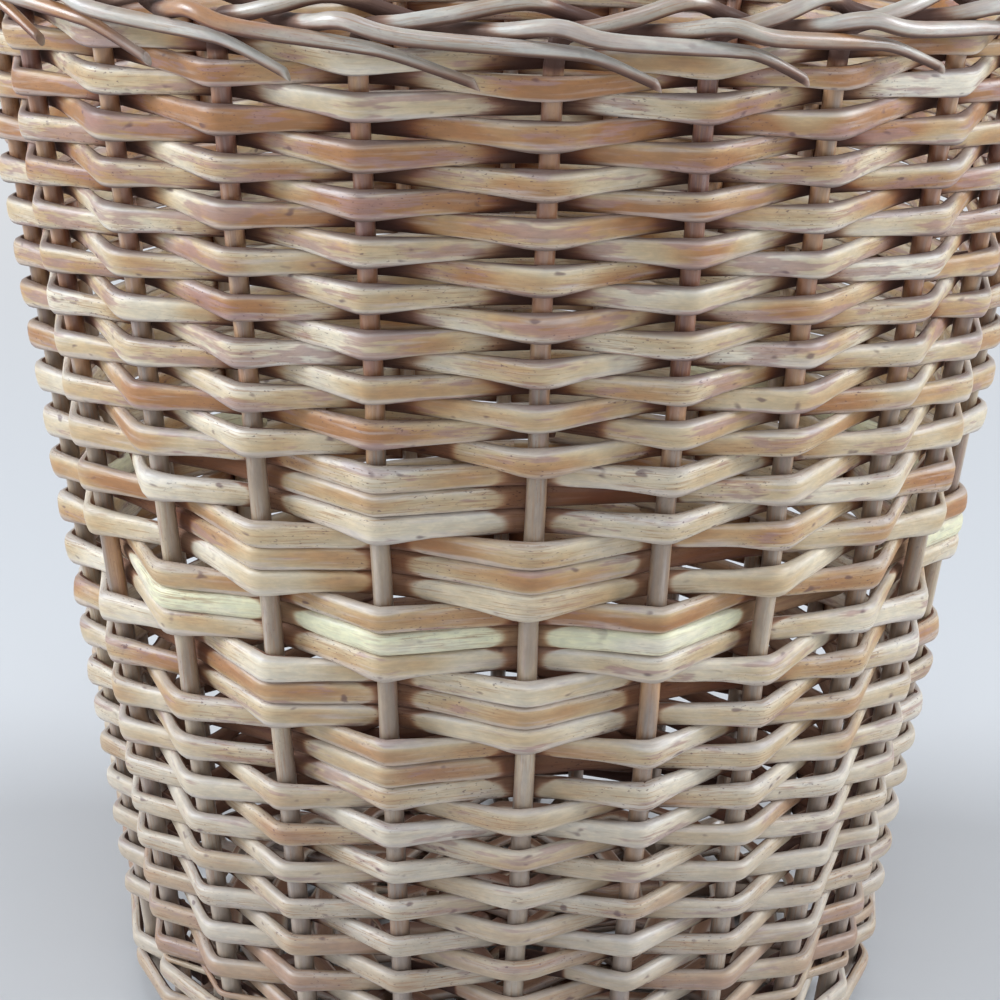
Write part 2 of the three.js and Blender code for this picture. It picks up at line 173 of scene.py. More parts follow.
# %% Sizes that follow
STAKE_STEP = 2 * math.pi / STAKES
STICK_STEP = 2 * math.pi / STICK_ENDS
LOZENGE_PERIOD = STAKES // STICKS_PER_ARM
STAKE_FOOT_RADIUS = STAKE_FOOT_DIAMETER / 2
STICK_RADIUS = STICK_DIAMETER / 2
BASE_LEVEL = STICK_RADIUS + BASE_SEAT + WEAVER_THICKNESS
UPSETT_SLOT = UPSETT_HEIGHT + ROW_GAP
UPSETT_FOOT = BASE_LEVEL + STAKE_FOOT_RADIUS + SEAT
WALL_FOOT = UPSETT_FOOT + UPSETT_RODS * UPSETT_SLOT
WALL_SLOT = WEAVER_HEIGHT + ROW_GAP
TIP_SLOT = TIP_HEIGHT + ROW_GAP
BAND_TURNS = LOZENGE_LEVELS * BLOCK_RODS / 2
BAND_EXTRA = BAND_TURNS * (BAND_WEAVER_HEIGHT - WEAVER_HEIGHT)
WALL_TOP = WALL_FOOT + 2 * ((WALL_TURNS - 1) * WALL_SLOT + TIP_SLOT + BAND_EXTRA)
LEAN = math.atan((RIM_RADIUS - FOOT_RADIUS) / (WALL_TOP - BASE_LEVEL))
BASE_OUTER = FOOT_RADIUS - STAKE_FOOT_RADIUS - SEAT - 2 * (WEAVER_THICKNESS + ROW_GAP)
BASE_INNER = BASE_OUTER - 2 * ((BASE_TURNS - 1) * (BASE_WEAVER_WIDTH + ROW_GAP) + TIP_SLOT)
FAN_RADIUS = BASE_INNER - STICK_RADIUS
ARM_LENGTH = FAN_RADIUS - OPEN_RUN
ARM_HALF_WIDTH = ((STICKS_PER_ARM - 1) * SLATH_PITCH + STICK_DIAMETER) / 2
SPLIT_END = ARM_HALF_WIDTH + TOUCH + SPLIT_RUN
STICK_REACH = BASE_OUTER + 2 * TOUCH
TUCK_RADIUS = FOOT_RADIUS - STAKE_BEND - TUCK_LENGTH
TUCK_SIDE = STICK_RADIUS + TOUCH + STAKE_FOOT_RADIUS
print("wall from", round(WALL_FOOT, 4), "to", round(WALL_TOP, 4), "lean", round(math.degrees(LEAN), 2))


# %% Numbers between two others
def mix(a, b, share):
    return a + (b - a) * share


def clamp01(x):
    return min(1.0, max(0.0, x))


def smooth(x):
    x = clamp01(x)
    return x * x * (3 - 2 * x)


def eased(x, start, span):
    """0 up to the start, 1 past the span, and a smooth step between."""
    return smooth((x - start) / span)


print("a quarter of the way is eased to", smooth(0.25))


# %% Places on the wall and the base
def rim_drift(step):
    """How far a stake has drifted at the rim. Between two stakes it is eased."""
    stake = math.floor(step)
    left, right = (math.radians(STAKE_DRIFT[i % len(STAKE_DRIFT)]) for i in (stake, stake + 1))
    return mix(left, right, smooth(step - stake))


def stake_angle(step, z=BASE_LEVEL):
    rise = (z - BASE_LEVEL) / (WALL_TOP - BASE_LEVEL)
    return (step - SEAM_TO_MIDDLE) * STAKE_STEP + rim_drift(step) * rise


def stick_angle(step):
    """A stick ends midway between its two stakes."""
    return (2 * step + 0.5 - SEAM_TO_MIDDLE) * STAKE_STEP


def wall_radius(z):
    return FOOT_RADIUS + (z - BASE_LEVEL) * math.tan(LEAN)


def stake_radius_at(z):
    return mix(STAKE_FOOT_DIAMETER, STAKE_RIM_DIAMETER, clamp01(z / WALL_TOP)) / 2


def base_height(radius):
    return BASE_LEVEL + BASE_CROWN * clamp01((TUCK_RADIUS - radius) / (TUCK_RADIUS - ARM_LENGTH))


Place = namedtuple("Place", "origin out across")
UP = Vector((0, 0, 1))


def wall_place(angle, z):
    """A place on the wall's cone, and the ways out of the wall and up along it."""
    radial = outward(angle)
    return Place(
        radial * wall_radius(z) + UP * z,
        radial * math.cos(LEAN) - UP * math.sin(LEAN),
        radial * math.sin(LEAN) + UP * math.cos(LEAN),
    )


def base_place(angle, radius, spread):
    """A place on the base, and the ways up and inward."""
    origin = outward(angle) * (radius / math.cos(spread)) + UP * base_height(radius)
    return Place(origin, UP.copy(), -outward(angle))


print("radius of the wall at its top", round(wall_radius(WALL_TOP), 4))

# %% [markdown]
# Bending a rod
#
# A willow rod is straight until the maker bends it. Extruding it ring by ring along its route
# would work, but takes long for hundreds of rings. Here a straight closed rod is cut into rings by
# one subdivision, and then each ring is carried to its station on the route and pressed to the
# section there. Every vertex also keeps its place on the straight rod, so that the grain can follow
# the bends, and how openly it lies, which sets the painted shade where it lies hidden or in a crevice.

# %% A straight rod and its section
# A station says where a ring goes: its middle, the ways out and across, how far the rod reaches
# up, down and deep from there, and how far it is rolled. A look says how many sides a rod has,
# how square it is, how much narrower outside, where it is cut flat and how its end slants.
Station = namedtuple("Station", "centre out across up down deep roll")
Look = namedtuple("Look", "sides squareness belly flat slant")


def straight_rod(sides, rings):
    """A closed rod of radius 1 on the X axis, with its rings at 0, 1, 2 and so on."""
    rod = bmesh.new()
    lying = Matrix.Translation(((rings - 1) / 2, 0, 0)) @ Matrix.Rotation(math.pi / 2, 4, "Y")
    size = {"segments": sides, "radius1": 1, "radius2": 1, "depth": rings - 1}
    bmesh.ops.create_cone(rod, cap_ends=True, matrix=lying, **size)
    lengthwise = [edge for edge in rod.edges if edge.calc_length() > (rings - 1) / 2]
    bmesh.ops.subdivide_edges(rod, edges=lengthwise, cuts=rings - 2)
    return rod


def pressed(y, z, look):
    """A point of the unit circle, moved onto a section that is squarer, and narrower outside."""
    power = 2 / look.squareness
    y = max(look.flat, math.copysign(abs(y) ** power, y))
    z = math.copysign(abs(z) ** power, z)
    return y, z * (1 - look.belly * (1 + y) / 2)


trial = straight_rod(sides=12, rings=5)
print("a rod of 12 sides and 5 rings has", len(trial.faces), "faces")
trial.free()

# %% Carry each ring to its station
# Each rod begins at its own place in so many metres of grain.
GRAIN_METRES = 50
random.seed(24)


def ring_frames(stations):
    """The ways ahead, out and aside at each station, and whether aside is the upper side."""
    last = len(stations) - 1
    frames = []
    for i, station in enumerate(stations):
        ahead = stations[min(i + 1, last)].centre - stations[max(i - 1, 0)].centre
        ahead.normalize()
        out = (station.out - ahead * station.out.dot(ahead)).normalized()
        out.rotate(Matrix.Rotation(station.roll, 3, ahead))
        aside = ahead.cross(out)
        frames.append((ahead, out, aside, aside.dot(station.across) > 0))
    return frames


def bend_rod(stations, look, openness):
    """A rod on its route. openness(place, facing, ring) says how openly a vertex lies."""
    rod = straight_rod(look.sides, len(stations))
    kept = rod.verts.layers.float_vector.new("straight")
    open_air = rod.verts.layers.float.new("open")
    travelled = rod.verts.layers.float.new("run")
    start = random.uniform(0, GRAIN_METRES)
    run = [start]
    for before, here in zip(stations, stations[1:]):
        run.append(run[-1] + (here.centre - before.centre).length)
    frames = ring_frames(stations)
    last = len(stations) - 1
    for vert in rod.verts:
        ring = round(vert.co.x)
        station = stations[ring]
        ahead, out, aside, upward = frames[ring]
        y, z = pressed(vert.co.y, vert.co.z, look)
        half = station.up if (z > 0) == upward else station.down
        cut = look.slant * station.deep * y if ring == last else 0
        vert[kept] = (run[ring] + cut, station.deep * y, half * z)
        vert[travelled] = run[ring] - start
        vert.co = station.centre + out * (station.deep * y) + aside * (half * z) + ahead * cut
        vert[open_air] = openness(vert.co, out * y + aside * z, ring)
    for face in rod.faces:
        face.smooth = len(face.verts) == 4
    return rod


# %% Adding a piece
made = []


def add_piece(node, rod, finish):
    name = "willow_" + node
    mesh = bpy.data.meshes.new(name)
    rod.to_mesh(mesh)
    rod.free()
    mesh.materials.append(finish)
    piece = bpy.data.objects.new(name, mesh)
    bpy.context.collection.objects.link(piece)
    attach(piece, "root")
    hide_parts(node)
    made.append(piece)


def numbered(name, i):
    return f"{name}_{i + 1:02d}"


print("pieces are named like", numbered("stake", 0))

# %% [markdown]
# Willow
#
# Aged willow with a little old wax on it. Its tone drifts from rust to honey and cream along each
# rod, fine fibres run lengthwise, and small dark specks and bud scars are left of the bark. Near
# the rim, where hands take hold, it is browner. At the foot it is dull. Crevices get painted shade,
# partly old dirt, and a rod's sides get painted light: a paler sheen towards its edges, a highlight
# on its high side, shade on its low side, and darker edges that are partly painted shade.
#
# A picture of bark could be wrapped round each rod, but it would repeat on hundreds of bends. Here
# the colours come from noise, stretched along the rod. Everything reads the place on the straight
# rod, so that it bends and twists with the rod.

# %% Writing shader maths
class Shade:
    """A socket of a material's nodes, which can be used in sums like a number."""

    def __init__(self, finish, socket):
        self.finish = finish
        self.socket = socket

    def maths(self, operation, first, second):
        return self.finish.node("ShaderNodeMath", {"operation": operation}, {0: first, 1: second})

    def __add__(self, other):
        return self.maths("ADD", self, other)

    def __radd__(self, other):
        return self.maths("ADD", other, self)

    def __sub__(self, other):
        return self.maths("SUBTRACT", self, other)

    def __rsub__(self, other):
        return self.maths("SUBTRACT", other, self)

    def __mul__(self, other):
        return self.maths("MULTIPLY", self, other)

    def __rmul__(self, other):
        return self.maths("MULTIPLY", other, self)

    def above(self, low, high):
        """0 below low, 1 above high, and a smooth step between."""
        settings = {"interpolation_type": "SMOOTHSTEP"}
        inputs = {"Value": self, "From Min": low, "From Max": high}
        return self.finish.node("ShaderNodeMapRange", settings, inputs)


# %% The nodes of a finish
# The sockets of a mix node that carry colours share their names with others, so they are numbered.
MIX_FACTOR, MIX_UNDER, MIX_OVER = 0, 6, 7
MIX_COLOUR = 2


class Finish:
    """The nodes of one material or of the world."""

    def __init__(self, owner):
        owner.use_nodes = True
        self.tree = owner.node_tree
        self.shader = self.tree.nodes.get("Principled BSDF")

    def node(self, kind, settings, inputs, output=0):
        new_node = self.tree.nodes.new(kind)
        for name, value in settings.items():
            if name == "stops":
                self.set_stops(new_node.color_ramp, value)
            else:
                setattr(new_node, name, value)
        for name, value in inputs.items():
            self.feed(new_node.inputs[name], value)
        return Shade(self, new_node.outputs[output])

    def feed(self, socket, value):
        if isinstance(value, Shade):
            self.tree.links.new(value.socket, socket)
        else:
            socket.default_value = value

    def set_stops(self, ramp, stops):
        while len(ramp.elements) < len(stops):
            ramp.elements.new(1)
        for element, (position, colour) in zip(ramp.elements, stops):
            element.position = position
            element.color = (*colour, 1)

    def toned(self, tones, value):
        """The colour that a value has on a scale of tones."""
        return self.node("ShaderNodeValToRGB", {"stops": tones}, {0: value})

    def tinted(self, amount, colour, tint, blend="MIX"):
        """A colour under some amount of another."""
        settings = {"data_type": "RGBA", "blend_type": blend}
        inputs = {MIX_FACTOR: amount, MIX_UNDER: colour, MIX_OVER: tint}
        return self.node("ShaderNodeMix", settings, inputs, MIX_COLOUR)


# %% Patterns along a rod
# A pattern's grain is the number of its cells in a metre, along the rod and in both ways across.
Pattern = namedtuple("Pattern", "grain detail roughness", defaults=(0.5,))
OWN_TONE = Pattern((0.4, 0, 0), 0)
DRIFT = Pattern((24, 60, 60), 2)
STREAKS = Pattern((45, 600, 600), 3)
STAINS = Pattern((60, 360, 360), 3, 0.6)
MOTTLE = Pattern((260, 700, 700), 3, 0.65)
FIBRES = Pattern((130, 2800, 2800), 2, 0.6)
ROUGH_BARK = Pattern((35, 120, 120), 1)
SPECKS = Pattern((1000, 2200, 2200), 1)
BUD_SCARS = Pattern((210, 420, 420), 1)
LUMPS = Pattern((130, 500, 500), 2)

# Heights between which willow turns handled, and stops being dull
HANDLED_HEIGHTS = (0.16, 0.2)
DULL_HEIGHTS = (0.04, 0.13)
# How openly willow still lies where painted crevice shade begins, and how much more for streaks
# near the rim
CREVICE_OPEN = 0.14
HANDLED_CREVICE_OPEN = 0.55


class RodFinish(Finish):
    """The nodes of a rod's material, and what all its colours depend on."""

    def __init__(self, name):
        self.material = bpy.data.materials.new(name)
        super().__init__(self.material)
        self.straight = self.attribute("straight", "Vector")
        self.down = self.node("ShaderNodeSeparateXYZ", {}, {"Vector": self.straight}, "Z")
        place = self.node("ShaderNodeTexCoord", {}, {}, "Object")
        height = self.node("ShaderNodeSeparateXYZ", {}, {"Vector": place}, "Z")
        self.handled = height.above(*HANDLED_HEIGHTS)
        self.dulled = 1 - height.above(*DULL_HEIGHTS)
        self.streaks = self.cloud(STREAKS)
        self.mottle = self.cloud(MOTTLE)
        self.fibres = self.cloud(FIBRES)
        # Painted shade, partly old dirt, where a face lies hidden or in a crevice
        open_from = CREVICE_OPEN + HANDLED_CREVICE_OPEN * self.handled * self.streaks
        hidden = {"Value": 1 - self.attribute("open", "Fac"), "From Min": 1 - open_from}
        self.crevice = self.node("ShaderNodeMapRange", {}, hidden)

    def attribute(self, name, output):
        return self.node("ShaderNodeAttribute", {"attribute_name": name}, {}, output)

    def cloud(self, pattern):
        """The noise of a pattern, stretched along the straight rod."""
        stretch = {0: self.straight, 1: pattern.grain}
        stretched = self.node("ShaderNodeVectorMath", {"operation": "MULTIPLY"}, stretch)
        inputs = {
            "Vector": stretched,
            "Scale": 1,
            "Detail": pattern.detail,
            "Roughness": pattern.roughness,
        }
        return self.node("ShaderNodeTexNoise", {}, inputs)


print("the finest grain has", max(FIBRES.grain), "cells in a metre")


# %% Colours of old willow
PLUM = (0.13, 0.07, 0.055)
CHESTNUT = (0.17, 0.065, 0.04)
GINGER = (0.30, 0.13, 0.06)
RUST = (0.33, 0.15, 0.055)
FAWN = (0.43, 0.25, 0.13)
AMBER = (0.435, 0.268, 0.128)
HONEY = (0.505, 0.384, 0.232)
STRAW = (0.605, 0.52, 0.385)
CREAM = (0.70, 0.635, 0.52)
PEELED_WHITE = (0.68, 0.66, 0.455)
DUSK = (0.30, 0.20, 0.135)
HUSK = (0.38, 0.325, 0.265)
ASH = (0.5, 0.47, 0.42)
EARTH = (0.20, 0.14, 0.10)
HAZEL = (0.31, 0.23, 0.16)
SAND = (0.49, 0.39, 0.26)
ROSE = (0.32, 0.18, 0.17)
# The next two are also painted: grey shade on a rod's low side and a pale highlight on its high side.
LILAC = (0.52, 0.45, 0.43)
PALE_AND_HIGHLIGHT = (0.66, 0.62, 0.62)
DULL = (0.30, 0.25, 0.225)
SPECK = (0.09, 0.035, 0.045)
# The next two are painted shade in crevices, partly stain and old dirt.
CREVICE_SHADE_AND_STAIN = (0.6, 0.36, 0.26)
CREVICE = (0.05, 0.02, 0.015)
PALER = (1.2, 1.17, 1.12)

# Tones are colours on a scale from 0 to 1, along which a rod drifts.
WEAVER_TONES = [(0.27, RUST), (0.37, AMBER), (0.47, HONEY), (0.6, STRAW), (0.76, CREAM)]
PEELED_TONES = [(0.25, STRAW), (0.36, CREAM), (0.5, PEELED_WHITE)]
BORDER_TONES = [(0.27, RUST), (0.37, DUSK), (0.46, HUSK), (0.62, ASH)]
UPPER_STAKE_TONES = [(0, CHESTNUT), (0.14, GINGER), (0.3, FAWN)]
LOWER_STAKE_TONES = [(0.4, EARTH), (0.56, HAZEL), (0.76, SAND)]
STAKE_TONES = UPPER_STAKE_TONES + LOWER_STAKE_TONES
STICK_TONES = [(0.3, PLUM), (0.5, RUST), (0.7, HONEY)]
print(len(WEAVER_TONES), "tones of weavers,", len(STAKE_TONES), "tones of stakes")

# %% The tone of a rod
# Squares of the distances from the rod's middle between which its edges turn paler, a painted sheen
EDGE_SHEEN_SQUARES = (2e-7, 5e-6)
NOISE_MIDDLE = 0.5
OWN_TONE_SHARE = 0.85
TONE_SHIFT = -0.03
EDGE_SHEEN_SHARE = 0.09
HANDLED_SPREAD = 0.35
HANDLED_SHARE = 0.15
TONES_MEET = 0.003


def own_colour(finish, tones, upper_tones, upper_from, wear):
    """A rod's own tone, paler towards its edges as a painted sheen.
    Further along the rod than upper_from it has the upper tones.
    """
    edges = (finish.down * finish.down).above(*EDGE_SHEEN_SQUARES)
    own_tone = OWN_TONE_SHARE * (finish.cloud(OWN_TONE) - NOISE_MIDDLE)
    drift = finish.cloud(DRIFT) * (1 + HANDLED_SPREAD * finish.handled)
    tone = drift + own_tone + TONE_SHIFT + EDGE_SHEEN_SHARE * edges
    tone = tone - (wear + HANDLED_SHARE) * finish.handled
    colour = finish.toned(tones, tone)
    if not upper_tones:
        return colour
    upper = finish.toned(upper_tones, tone + wear * finish.handled)
    further = finish.attribute("run", "Fac").above(upper_from - TONES_MEET, upper_from + TONES_MEET)
    return finish.tinted(further, colour, upper)


print("rods differ in tone by up to", OWN_TONE_SHARE, "of the scale")


# %% Stains
# A layer is laid on where a pattern rises from its low to its high value.
Layer = namedtuple("Layer", "colour strength low high")
GREYED_AND_LOW_SIDE_SHADE = Layer(LILAC, 0.55, 0.56, 0.78)
STAINED = Layer(ROSE, 0.65, 0.58, 0.66)
PALE_AND_HIGH_SIDE_HIGHLIGHT = Layer(PALE_AND_HIGHLIGHT, 0.45, 0.56, 0.82)
# Across the rod, where the low side gets painted shade and the high side a painted highlight
LOW_SIDE = (0.0006, 0.003)
HIGH_SIDE = (0.0012, 0.003)
LOW_SIDE_SHADE = 0.34
HIGH_SIDE_HIGHLIGHT = 0.28
HANDLED_STAINED = 0.07
FOOT_DULLNESS = 0.5


def laid_on(finish, colour, layer, pattern, share=1):
    amount = pattern.above(layer.low, layer.high) * (layer.strength * share)
    return finish.tinted(amount, colour, (*layer.colour, 1))


def weathered_with_side_light(finish, colour, stain):
    """Grey patches and painted shade on the low side, pale patches and a painted highlight on the
    high side, rose stains, and a dull foot.
    """
    shaded_low_side = finish.down.above(*LOW_SIDE)
    lit_high_side = (-1 * finish.down).above(*HIGH_SIDE)
    greyed_and_shaded = finish.streaks + LOW_SIDE_SHADE * shaded_low_side
    colour = laid_on(finish, colour, GREYED_AND_LOW_SIDE_SHADE, greyed_and_shaded, stain)
    stained = finish.cloud(STAINS) + HANDLED_STAINED * finish.handled
    colour = laid_on(finish, colour, STAINED, stained, stain)
    pale_and_highlit = 1 - finish.streaks + HIGH_SIDE_HIGHLIGHT * lit_high_side
    colour = laid_on(finish, colour, PALE_AND_HIGH_SIDE_HIGHLIGHT, pale_and_highlit, stain)
    return finish.tinted(finish.dulled * FOOT_DULLNESS, colour, (*DULL, 1))


print("stains cover a rod where their noise is above", STAINED.low)


# %% Fibres, specks and bud scars
FIBRED = Layer(RUST, 0.4, 0.5, 0.66)
SPECKLED = Layer(SPECK, 0.7, 0.64, 0.74)
SCARRED = Layer(SPECK, 0.7, 0.7, 0.8)
# This one is laid on between two squares of distances from the rod's middle: darker edges, partly
# painted contact shade.
OUTLINE_AND_EDGE_SHADE = Layer(PLUM, 0.5, 4e-6, 8.5e-6)
MOTTLED = (0.35, 0.7)
ROUGH = (0.42, 0.62)
SMOOTH_BARK_FIBRED = 0.35
OUTLINE_BELOW_RIM = 0.6


def barked_and_edge_shaded(finish, colour, stain):
    """Pale mottles, rusty fibres, specks on rough bark, bud scars, and darker edges.
    The darker edges are partly painted contact shade.
    """
    colour = finish.tinted(finish.mottle.above(*MOTTLED), colour, (*PALER, 1), "MULTIPLY")
    rough_bark = finish.cloud(ROUGH_BARK).above(*ROUGH)
    colour = laid_on(finish, colour, FIBRED, finish.fibres, SMOOTH_BARK_FIBRED + rough_bark)
    colour = laid_on(finish, colour, SPECKLED, finish.cloud(SPECKS), stain * rough_bark)
    colour = laid_on(finish, colour, SCARRED, finish.cloud(BUD_SCARS), stain)
    outline = stain * (OUTLINE_BELOW_RIM + finish.handled)
    return laid_on(finish, colour, OUTLINE_AND_EDGE_SHADE, finish.down * finish.down, outline)


print("darker edges begin", round(math.sqrt(OUTLINE_AND_EDGE_SHADE.low), 4), "m from the rod's middle")


# %% Painted shade in crevices
CREVICE_SHADE_AND_STAIN_SPAN = (0, 0.7)
DEEPEST = (0.25, 1)
DEEPEST_SHARE = 0.5
DEEPEST_HANDLED = 0.4
DEEPEST_DULLED = 0.45


def darkened(finish, colour):
    """Painted shade, partly old dirt: brown where a crevice begins, nearly black in its depth.
    It is strongest near the rim and the foot.
    """
    colour = finish.tinted(finish.crevice.above(*CREVICE_SHADE_AND_STAIN_SPAN), colour, (*CREVICE_SHADE_AND_STAIN, 1), "MULTIPLY")
    share = DEEPEST_SHARE + DEEPEST_HANDLED * finish.handled + DEEPEST_DULLED * finish.dulled
    return finish.tinted(finish.crevice.above(*DEEPEST) * share, colour, (*CREVICE, 1))


# The depth of a crevice is painted shade, partly old dirt.
print("in the depth of a crevice", DEEPEST_SHARE, "to", DEEPEST_SHARE + DEEPEST_DULLED, "is old dirt")


# %% The finish of a rod
ROUGHNESS = 0.4
MOTTLE_ROUGHER = 0.2
CREVICE_ROUGHER = 0.4
COAT_ROUGHNESS = 0.3
FIBRE_RELIEF = 0.35
MOTTLE_RELIEF = 0.5
BUMP_STRENGTH = 0.7
BUMP_DEPTH = 0.0003


def willow(name, tones, upper_tones=None, upper_from=0, stain=1, wear=0.09, gloss=0.12):
    """The willow of one kind of rod: how stained, how worn by hands and how waxed it is."""
    finish = RodFinish(name)
    colour = own_colour(finish, tones, upper_tones, upper_from, wear)
    colour = weathered_with_side_light(finish, colour, stain)
    colour = barked_and_edge_shaded(finish, colour, stain)
    colour = darkened(finish, colour)
    relief = FIBRE_RELIEF * finish.fibres + MOTTLE_RELIEF * finish.mottle + finish.cloud(LUMPS)
    bump_inputs = {"Strength": BUMP_STRENGTH, "Distance": BUMP_DEPTH, "Height": relief}
    bump = finish.node("ShaderNodeBump", {}, bump_inputs)
    roughness = ROUGHNESS + MOTTLE_ROUGHER * finish.mottle + CREVICE_ROUGHER * finish.crevice
    sockets = finish.shader.inputs
    finish.feed(sockets["Base Color"], colour)
    finish.feed(sockets["Roughness"], roughness)
    finish.feed(sockets["Normal"], bump)
    finish.feed(sockets["Coat Weight"], gloss * (1 - finish.crevice))
    finish.feed(sockets["Coat Roughness"], COAT_ROUGHNESS)
    return finish.material


weaver_willow = willow("willow_weaver", WEAVER_TONES)
stick_willow = willow("willow_stick", STICK_TONES, gloss=0.05)
print("a willow finish has", len(weaver_willow.node_tree.nodes), "nodes")

# %% [markdown]
# Weavers of the wall
#
# Two long weavers chase each other round the wall, each pieced together from many rods. A rod
# lies in front of one stake and behind the next, with a sharp crease where it is pulled round the
# front of a stake and an easy curve behind. Where the rods above and below lie behind the stake,
# it swells into their room, except in the looser rows below the band. In the band the middle rod
# of a block of three changes sides, and such blocks draw lozenges.
#
# A bent sheet with a woven picture would do from afar. From this near the rods must really cross,
# so each is bent through knots, the places where it crosses a stake.

# %% Levels of two rods that chase each other
Level = namedtuple("Level", "low high")


def chase_levels(uprights, turns, height_after):
    """The lower and upper edges of two chasing rods at each step. They start and end thin."""
    levels = [[], []]
    for step in range(uprights * turns):
        turn, share = step // uprights, (step % uprights) / uprights
        h = height = height_after(turn + share)
        if turn == 0:
            h = mix(TIP_HEIGHT, height, share)
        if turn == turns - 1:
            h = mix(height, TIP_HEIGHT, share)
        for rod in (0, 1):
            low = 0
            if rod == 1:
                low = levels[0][step].high + ROW_GAP
            elif turn > 0:
                low = levels[1][step - uprights].high + ROW_GAP
            levels[rod].append(Level(low, low + h))
    return levels


def thickness_for(height, full_height):
    share = (height - TIP_HEIGHT) / (full_height - TIP_HEIGHT)
    return mix(TIP_THICKNESS, WEAVER_THICKNESS, clamp01(share))


def rod_height_after(turns):
    """The band's rods are higher, and the height changes over one turn."""
    band_foot = RODS_BELOW_BAND / 2
    in_band = clamp01(turns - band_foot + 0.5) - clamp01(turns - band_foot - BAND_TURNS + 0.5)
    return mix(WEAVER_HEIGHT, BAND_WEAVER_HEIGHT, in_band)


wall_levels = chase_levels(STAKES, WALL_TURNS, rod_height_after)
print("top of the weave", round(WALL_FOOT + wall_levels[1][-1].high, 4))


# %% Which side of a stake a rod passes
def is_block_middle(rod_from_bottom, stake):
    """Whether a rod is the middle one of a lozenge's block of three as it passes a stake."""
    in_band = rod_from_bottom - RODS_BELOW_BAND
    level, place = divmod(in_band, BLOCK_RODS)
    if not 0 <= level < LOZENGE_LEVELS or place != BLOCK_RODS // 2:
        return False
    from_middle = abs(stake % LOZENGE_PERIOD - SEAM_TO_MIDDLE)
    return from_middle <= LOZENGE_REACH - abs(level - (LOZENGE_LEVELS - 1) / 2)


def side_of(rod_from_bottom, stake):
    """1 in front of the stake, -1 behind it."""
    front = (rod_from_bottom + stake) % 2 == 1
    return 1 if front != is_block_middle(rod_from_bottom, stake) else -1


def wall_side(chaser, step):
    return side_of(2 * (step // STAKES) + chaser, step % STAKES)


switched = sum(is_block_middle(rod, stake) for rod in range(2 * WALL_TURNS) for stake in range(STAKES))
print(switched, "crossings are switched for the lozenges")

# %% Knots where a rod crosses a stake
# half is half of the height that a row takes up, above and below are how much of it the rod fills
# upwards and downwards, and bend is how far from the knot the rod is already turning, in steps.
Knot = namedtuple("Knot", "at centre out across half above below deep bend")
SNUG = 1.1
HALFWAY = 1.1
FRONT_SWELL = 1.36
LOWER_SWELL = 1.5
LOOSE_SWELL = 1.12
LOOSE_LEVEL = WALL_FOOT + wall_levels[0][(RODS_BELOW_BAND // 2 - 1) * STAKES].low
LOOSE_SPAN = 0.01
BACK_SWELL = 1.18
DEPTH_SWELL = 1.1
FRONT_BENDS = (0.1, 0.07, 0.13, 0.08, 0.05, 0.16, 0.08, 0.12)
FRONT_BEND_SPREAD = (0.6, 1.4)
BACK_BEND = 0.2
# An eased line cuts its corners, so a knot is set further off for a wider bend.
BEND_ALLOWANCE = 0.8
# Places round a point of the line, in bends, and their weights in the eased line
EASE = ((-1, 1), (-0.5, 2), (0, 3), (0.5, 2), (1, 1))


def straight_line(knots, i, at):
    if i > 0 and at < knots[i].at:
        i -= 1
    elif i < len(knots) - 2 and at > knots[i + 1].at:
        i += 1
    a, b = knots[i], knots[i + 1]
    return a.centre.lerp(b.centre, (at - a.at) / (b.at - a.at))


def eased_line(knots, i, at, bend):
    places = [straight_line(knots, i, at + shift * bend) * weight for shift, weight in EASE]
    return sum(places, Vector()) / sum(weight for _, weight in EASE)


print("rods below", round(LOOSE_LEVEL, 3), "m are woven looser")

# %% Stations between the knots
SHARES = (0, 0.05, 0.12, 0.22, 0.36, 0.5, 0.64, 0.78, 0.88, 0.95)
NOISE_SEEDS = 1000
WALL_WAVER = 0.0003
WALL_ROLL = 0.3
SWELL_SHARE = 0.12
# How many times an unevenness changes in a step, and its own row of the noise
SWAY = (1.7, 0)
SWELL = (2.3, 5)
ROLL = (0.9, 9)


def uneven(at, kind, seed):
    """A number between -1 and 1 that drifts along a rod and differs from rod to rod."""
    pace, row = kind
    return noise.noise(Vector((at * pace, seed, row)))


def stations_through(knots, waver=WALL_WAVER, rolling=WALL_ROLL):
    seed = random.uniform(0, NOISE_SEEDS)
    stations = []
    last = len(knots) - 2
    for i, (a, b) in enumerate(zip(knots, knots[1:])):
        for share in SHARES if i < last else (*SHARES, 1):
            at = mix(a.at, b.at, share)
            near = a if share < 0.5 else b
            at_end = (i == 0 and near is a) or (i == last and near is b)
            centre = a.centre.lerp(b.centre, share) if at_end else eased_line(knots, i, at, near.bend)
            out, across = a.out.lerp(b.out, share), a.across.lerp(b.across, share)
            centre = centre + across * (waver * uneven(at, SWAY, seed))
            swell = 1 + SWELL_SHARE * uneven(at, SWELL, seed)
            half = mix(a.half, b.half, share) * swell
            middle = math.sin(math.pi * share) ** 2
            above = mix(mix(a.above, b.above, smooth(share)), HALFWAY, middle)
            below = mix(mix(a.below, b.below, smooth(share)), HALFWAY, middle)
            deep = mix(a.deep, b.deep, share) * swell
            roll = rolling * uneven(at, ROLL, seed)
            stations.append(Station(centre, out, across, half * above, half * below, deep, roll))
    return stations


print(len(SHARES), "stations from knot to knot")

# %% How openly a weaver lies
# Distances of a face from the stakes' middle line, where it is hidden in painted shade and where it
# is bare
HIDDEN = -0.0026
BARE = 0.0012
# The inside of the basket gets painted shade, dark at its foot and lighter further up, over these
# heights.
INSIDE_FOOT_OPEN = 0.045
INSIDE_TOP_OPEN = 0.5
INSIDE_LIGHTER = (0.03, 0.24)


